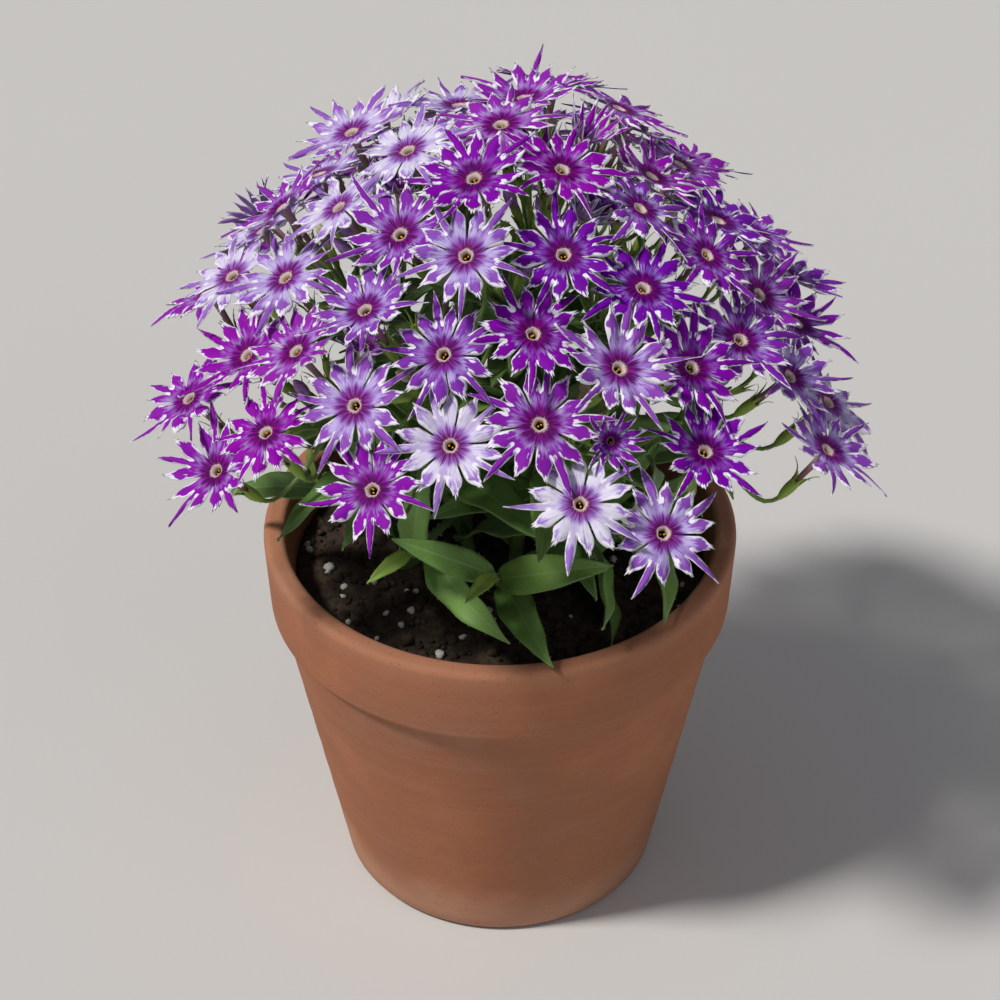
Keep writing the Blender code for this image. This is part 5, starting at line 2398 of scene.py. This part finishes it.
@dataclass(frozen=True)
class PetalFinish:
    """Violet petals with white edges, a pale patch on each lobe that is partly paler colour and partly a
    painted highlight, and a dark eye of magenta streaks and painted shade, with painted shade far down the
    throat.
    """

    name: str
    vivid: Colour = (0.29, 0.0, 0.39)
    blue_vivid: Colour = (0.15, 0.0, 0.35)
    pale_body: Colour = (0.4, 0.27, 0.74)
    # Pale lavender on each lobe: partly the petals' paler colour, partly a painted highlight.
    patch_and_highlight: Colour = (0.52, 0.45, 0.82)
    white: Colour = (0.86, 0.84, 0.92)
    # Painted shade: the dark purple at the petals' bases. Their own colour there is the magenta eye_glow.
    eye_and_shade: Colour = (0.06, 0.0, 0.075)
    eye_glow: Colour = (0.27, 0.0, 0.17)
    back: Colour = (0.36, 0.26, 0.5)
    tube: Colour = (0.27, 0.13, 0.14)
    tube_pale: Colour = (0.45, 0.29, 0.34)
    ring: Colour = (0.68, 0.55, 0.5)
    # Painted shade far down inside the throat.
    painted_throat_shade: Colour = (0.09, 0.035, 0.022)
    anther: Colour = (0.85, 0.42, 0.02)
    bud_cream: Colour = (0.66, 0.58, 0.4)
    spent: Colour = (0.3, 0.19, 0.15)

    def build(self) -> Material:
        """Makes the material.

        Returns:
            The finish.
        """
        board = Board(self.name, Specular_IOR_Level=0.1)
        turn, reach, edge = board.split(board.mark("lay"))
        pale, blue, tail = board.split(board.mark("tone"))
        part, seed = board.number("part"), board.number("seed")
        own = seed * 60
        streak = board.noise(board.vector(turn * 1.3 + own, reach * 0.2, own), 1.0, 3.0, 0.6)
        vein = board.noise(board.vector(turn * 5.0 + own, reach * 0.3, own), 1.0, 2.0, 0.5)
        blot = board.noise(board.vector(turn * 0.5 + own, reach * 0.35, own), 1.0, 2.0, 0.5)
        spokes = (turn * 1.5 + math.pi / 2).wave()
        vivid = board.mix(blue, self.vivid, self.blue_vivid)
        body = board.mix(pale ** 1.3, vivid, self.pale_body)
        wander = streak - 0.5
        # A pale band on each lobe between the dark centre and the tips: partly paler colour, partly a painted
        # highlight.
        inner = (reach + wander * 2.5 + spokes * -0.3).step(3.8, 5.8)
        outer_low = pale * 6.4 + 3.4
        outer = 1.0 - (reach + wander * 9.0 + (blot - 0.5) * 6.0).step(outer_low, outer_low + 3.2)
        patch_and_highlight = inner * outer * (1.0 - tail * (0.75 - pale * 0.4))
        patch_and_highlight_colour = board.mix(pale.step(0.2, 0.9), self.patch_and_highlight, self.white)
        colour = board.mix(patch_and_highlight * (0.82 + pale * 0.12), body, patch_and_highlight_colour)
        lines = (vein + wander * 0.8).step(0.5, 0.7) * reach.step(3.0, 5.5)
        colour = board.mix(lines * (0.62 - pale * 0.25), colour, body)
        tips = reach.step(9.5, 12.0) * (1.0 - tail)
        notch = 1.0 - (reach - 7.9).absolute().step(0.3, 1.7)
        width = 0.08 + blot.step(0.42, 0.72) * 0.5 + notch * 0.28 + tips * 0.18 + pale * 0.2
        width = width * (1.0 - tail.step(0.3, 0.6) * reach.step(9.5, 14.0) * 0.75)
        depth = edge - (vein - 0.5) * (0.5 + tips * 1.3) - wander * notch * 3.4
        rim = (1.0 - depth.step(width * 0.6, width + 0.1)) * reach.step(4.6, 6.6)
        colour = board.mix(rim, colour, self.white)
        # Magenta streaks where glow is high, and painted shade, the dark purple, between them round the
        # throat.
        eye_reach = reach + wander * 7.0 - spokes * 0.45 + (blot - 0.5) * 3.0 + pale * 1.1
        eye_and_shade = 1.0 - eye_reach.step(2.6, 5.8)
        glow = (streak * 0.6 + blot * 0.6 + vein * 0.2).step(0.66, 0.86) * (1.0 - pale * 0.3) + pale * 0.45
        eye_and_shade_colour = board.mix(glow, self.eye_and_shade, self.eye_glow)
        colour = board.mix(eye_and_shade * 0.97, colour, eye_and_shade_colour)
        colour = board.mix((1.0 - (reach + wander * 2.4).step(1.5, 1.95)) * 0.75, colour, self.ring)
        colour = board.mix(part.near(Part.BACK), colour, board.mix(0.6, colour, self.back))
        tube = board.mix(reach.step(1.5, 9.0), self.tube_pale, self.tube)
        tube = board.mix(streak.step(0.3, 0.8) * 0.5, tube, self.tube_pale)
        colour = board.mix(part.near(Part.TUBE), colour, tube)
        # The throat darkens with depth down the tube: painted shade.
        throat = board.mix((reach + (vein - 0.5) * 0.8).step(0.5, 2.2), self.ring, self.painted_throat_shade)
        throat = board.mix(edge.step(1.45, 1.75) * vein.step(0.35, 0.65) * 0.65, throat, self.eye_glow)
        colour = board.mix(part.near(Part.THROAT), colour, throat)
        colour = board.mix(part.near(Part.ANTHER), colour, self.anther)
        cream = board.mix(reach.step(1.0, 9.0), self.bud_cream, self.tube_pale)
        bud = board.mix(pale.step(0.45, 0.55), board.mix(0.25, vivid, self.white), cream)
        bud = board.mix(turn.wave().step(0.4, 1.0) * 0.35, bud, vivid)
        colour = board.mix(part.near(Part.BUD), colour, bud)
        spent = board.mix(streak.step(0.4, 0.7), self.spent, self.bud_cream)
        colour = board.mix(part.near(Part.SPENT), colour, spent)
        return board.finish(colour, 0.5 + vein * 0.2, vein + streak * 0.6, 0.35, 0.16 * MM)


@dataclass(frozen=True)
class GreenFinish:
    """Leaves, stems and cups: mid green with pale veins, yellower where young."""

    name: str = "phlox_green"
    leaf: Colour = (0.09, 0.19, 0.032)
    light: Colour = (0.17, 0.33, 0.07)
    young: Colour = (0.29, 0.42, 0.055)
    under: Colour = (0.14, 0.22, 0.08)
    vein: Colour = (0.2, 0.32, 0.1)
    stem: Colour = (0.12, 0.19, 0.04)
    red: Colour = (0.16, 0.06, 0.05)
    hair: Colour = (0.5, 0.56, 0.38)

    def build(self) -> Material:
        """Makes the material.

        Returns:
            The finish.
        """
        board = Board(self.name, Specular_IOR_Level=0.4)
        across, share, edge = board.split(board.mark("lay"))
        light, yellow, other = board.split(board.mark("tone"))
        part = board.number("part")
        place = board.object_place()
        blot = board.noise(place, 90.0, 3.0, 0.6)
        grain = board.noise(place, 1400.0, 2.0, 0.6)
        leaf = board.mix(light, self.leaf, self.light)
        leaf = board.mix(yellow.step(0.3, 1.0), leaf, self.young)
        leaf = board.mix(blot.step(0.4, 0.75) * 0.4, leaf, self.light)
        slant = share - across.absolute() * 0.9 - across * across * 0.12 + (blot - 0.5) * 1.2
        comb = (slant * 1.5).wave().absolute()
        vein = (1.0 - comb.step(0.0, 0.25)) * (1.0 - edge.absolute().step(0.7, 0.95)) * 0.6
        midrib = 1.0 - across.absolute().step(0.1, 0.4)
        leaf = board.mix((vein + midrib).least(1.0) * 0.6, leaf, self.vein)
        under = board.mix((vein + midrib).least(1.0) * 0.5, self.under, self.vein)
        colour = board.mix(part.near(Green.UNDER), leaf, under)
        stem = board.mix(light, self.stem, self.light)
        stem = board.mix(blot.step(0.45, 0.7) * 0.35 + other.step(0.2, 1.0) * 0.5, stem, self.red)
        colour = board.mix(part.near(Green.STEM), colour, stem)
        cup = board.mix(light, self.leaf, self.young)
        cup = board.mix(other.step(0.3, 0.9) * 0.6, cup, self.red)
        colour = board.mix(part.near(Green.CALYX), colour, cup)
        colour = board.mix(part.near(Green.HAIR), colour, self.hair)
        relief = grain * 0.4 + (1.0 - vein) * 0.5 + (1.0 - midrib) * 0.6
        return board.finish(colour, 0.42 + blot * 0.2, relief, 0.35, 0.25 * MM)


@dataclass(frozen=True)
class ClayFinish:
    """Unglazed fired clay with paler dusty patches and a fine grain."""

    name: str = "fired_clay"
    clay: Colour = (0.43, 0.17, 0.085)
    dark: Colour = (0.3, 0.105, 0.05)
    dust: Colour = (0.56, 0.34, 0.235)

    def build(self) -> Material:
        """Makes the material.

        Returns:
            The finish.
        """
        board = Board(self.name, Specular_IOR_Level=0.25)
        place = board.object_place()
        x, y, height = board.split(place)
        broad = board.noise(place, 22.0, 4.0, 0.6)
        fine = board.noise(place, 900.0, 3.0, 0.7)
        rings = board.noise(board.vector(x * 9.0, y * 9.0, height * 520.0), 1.0, 2.0, 0.5)
        colour = board.mix(broad.step(0.3, 0.7), self.clay, self.dark)
        dusty = (broad + fine * 0.25).step(0.55, 0.95) * 0.7 + height.step(0.106, 0.116) * 0.3
        colour = board.mix(dusty * 0.5, colour, self.dust)
        foot = (1.0 - (height + (broad - 0.5) * 0.03).step(0.004, 0.024)) * 0.45
        colour = board.mix(foot + (rings - 0.5).absolute() * 0.25, colour, self.dust)
        colour = board.mix(fine.step(0.5, 0.75) * 0.3, colour, self.dark)
        pits = board.cells(place, 420.0).step(0.05, 0.22)
        colour = board.mix((1.0 - pits) * 0.5, colour, self.dark)
        relief = fine * 0.6 + rings * 0.8 + pits * 0.5
        return board.finish(colour, 0.78 + broad * 0.15, relief, 0.45, 0.3 * MM)


@dataclass(frozen=True)
class SoilFinish:
    """Dark moist soil, or the pale grains in it."""

    name: str
    dark: Colour
    light: Colour

    def build(self) -> Material:
        """Makes the material.

        Returns:
            The finish.
        """
        board = Board(self.name, Specular_IOR_Level=0.25)
        place = board.object_place()
        blot = board.noise(place, 260.0, 4.0, 0.65)
        fine = board.noise(place, 1500.0, 3.0, 0.7)
        colour = board.mix(blot.step(0.32, 0.7), self.dark, self.light)
        colour = board.mix(fine.step(0.5, 0.8) * 0.3, colour, self.dark)
        return board.finish(colour, 0.86 + fine * 0.1, fine, 0.5, 0.4 * MM)


# The studio


@dataclass(frozen=True)
class Studio:
    """A pale floor, soft lights and the camera."""

    floor_size: float = 40.0
    floor_colour: Colour = (0.6, 0.59, 0.575)
    sky_colour: Colour = (0.9, 0.93, 1.0)
    sky_strength: float = 0.22
    elevation: float = 38.0
    azimuth: float = 0.0
    lens: float = 100.0
    distance: float = 0.76
    target: Vector = field(default_factory=lambda: Vector((0, 0, 0.122)))

    def build(self) -> None:
        """Sets up the floor, the lights, the world and the camera."""
        bm = bmesh.new()
        bmesh.ops.create_grid(bm, x_segments=1, y_segments=1, size=self.floor_size / 2)
        board = Board("studio_floor", Specular_IOR_Level=0.2)
        tint = board.noise(board.object_place(), 3.0)
        lighter = tuple(value * 1.03 for value in self.floor_colour)
        material = board.finish(board.mix(tint, self.floor_colour, lighter), 0.8)
        made_object("studio_floor", Form.of(bm), material)
        self.sun("key", (-0.8, -0.35, 1.3), 8.0, 2.7, (1.0, 0.975, 0.94))
        self.sun("fill", (0.9, -0.9, 0.9), 45.0, 0.2, (0.93, 0.96, 1.0))
        world = bpy.data.worlds.new("studio")
        bpy.context.scene.world = world
        world.use_nodes = True
        sky = world.node_tree.nodes["Background"].inputs
        sky["Color"].default_value = (*self.sky_colour, 1)
        sky["Strength"].default_value = self.sky_strength
        bpy.context.scene.view_settings.view_transform = "Standard"
        camera = bpy.data.cameras.new("camera")
        camera.lens = self.lens
        camera.clip_start, camera.clip_end = 0.01, 20
        seen = bpy.data.objects.new("camera", camera)
        bpy.context.scene.collection.objects.link(seen)
        tilt, turn = math.radians(self.elevation), math.radians(self.azimuth)
        back = Vector((math.sin(turn) * math.cos(tilt), -math.cos(turn) * math.cos(tilt), math.sin(tilt)))
        seen.location = self.target + back * self.distance
        seen.rotation_euler = (-back).to_track_quat("-Z", "Y").to_euler()
        bpy.context.scene.camera = seen

    def sun(self, name: str, place: tuple, spread: float, strength: float, colour: Colour) -> None:
        """A distant soft light.

        Args:
            name: Its name.
            place: The side that it shines from.
            spread: How wide it is, in degrees.
            strength: How strong it is.
            colour: Its colour.
        """
        lamp = bpy.data.lights.new(name, "SUN")
        lamp.angle, lamp.energy, lamp.color = math.radians(spread), strength, colour
        thing = bpy.data.objects.new(name, lamp)
        bpy.context.scene.collection.objects.link(thing)
        thing.location = place
        thing.rotation_euler = (-Vector(place)).to_track_quat("-Z", "Y").to_euler()


# Putting it together


def settle(piece: Object, slot: str, *nodes: str) -> None:
    """Lets a piece ride, hides the nodes that it stands for and logs how many triangles it has.

    Args:
        piece: The piece.
        slot: A material slot's name, which is not used.
        nodes: The nodes that it replaces.
    """
    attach(piece, "root")
    if nodes:
        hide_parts(*nodes)
    piece.data.calc_loop_triangles()
    log.info("%s: %d triangles", piece.name, len(piece.data.loop_triangles))


def check_plan(plan: PlantingPlan) -> None:
    """Logs each head whose blooms stand outside its packed box.

    Args:
        plan: The plan.
    """
    for number in range(len(plan.heads)):
        low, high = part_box(f"flower_head_{number + 1:02d}")
        tops = [bloom.centre for bloom in plan.blooms if bloom.head == number]
        outside = [max(max(low[i] - top[i], top[i] - high[i]) for i in range(3)) for top in tops]
        if max(outside) > MM:
            log.warning("head %d is off its solid by %.1f mm", number + 1, max(outside) / MM)


def main() -> None:
    """Builds everything, in order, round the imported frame."""
    logging.basicConfig(level=logging.INFO, format="%(name)s: %(message)s")
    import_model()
    Studio().build()
    plan = PlantingPlan()
    check_plan(plan)
    planned = sum(len(stem.leaves) for stem in plan.stems)
    Undergrowth().add_to(plan)
    grown = sum(len(stem.leaves) for stem in plan.stems)
    log.info("%d blooms, %d buds, %d leaves, then %d", len(plan.blooms), len(plan.buds), planned, grown)
    slots = ("petal_magenta", "petal_lavender", "petal_purple")
    tones = (Tone.MAGENTA, Tone.LAVENDER, Tone.PURPLE)
    petals = {slot: PetalFinish(slot).build() for slot in slots}
    green = GreenFinish().build()
    heads = HeadMaker()
    opened = heads.open_more(plan)
    log.info("%d half open blooms", len(opened))
    for number in range(len(plan.heads)):
        node = f"flower_head_{number + 1:02d}"
        slot = slots[number % 3]
        flowers = heads.flowers(plan, opened, number, tones[number % 3])
        settle(made_object(f"{node}_flowers", flowers, petals[slot]), slot, node)
        settle(made_object(f"{node}_greens", heads.greens(plan, opened, number), green), "leaf_green", node)
    for number, stem in enumerate(plan.stems):
        node = f"leafy_stem_{number + 1:02d}"
        made = []
        for i, path in enumerate(stem.paths):
            red = TRUNK_RED if i == 0 else BRANCH_RED
            made.append(heads.stems.form(path, STEM_SIDES, 50 * number + i, red))
        made += [heads.leaves.form(leaf, Seed.LEAF + 100 * number + i) for i, leaf in enumerate(stem.leaves)]
        settle(made_object(f"{node}_fine", joined(made), green), "leaf_green", node)
    settle(ClayPot().build(ClayFinish().build()), "fired_clay", "pot")
    earth = SoilFinish("potting_soil", (0.018, 0.012, 0.008), (0.06, 0.04, 0.026)).build()
    grains = SoilFinish("white_grains", (0.5, 0.48, 0.44), (0.66, 0.65, 0.62)).build()
    for piece in Soil().build(earth, grains):
        settle(piece, "potting_soil", "soil")


if __name__ == "__main__":
    main()
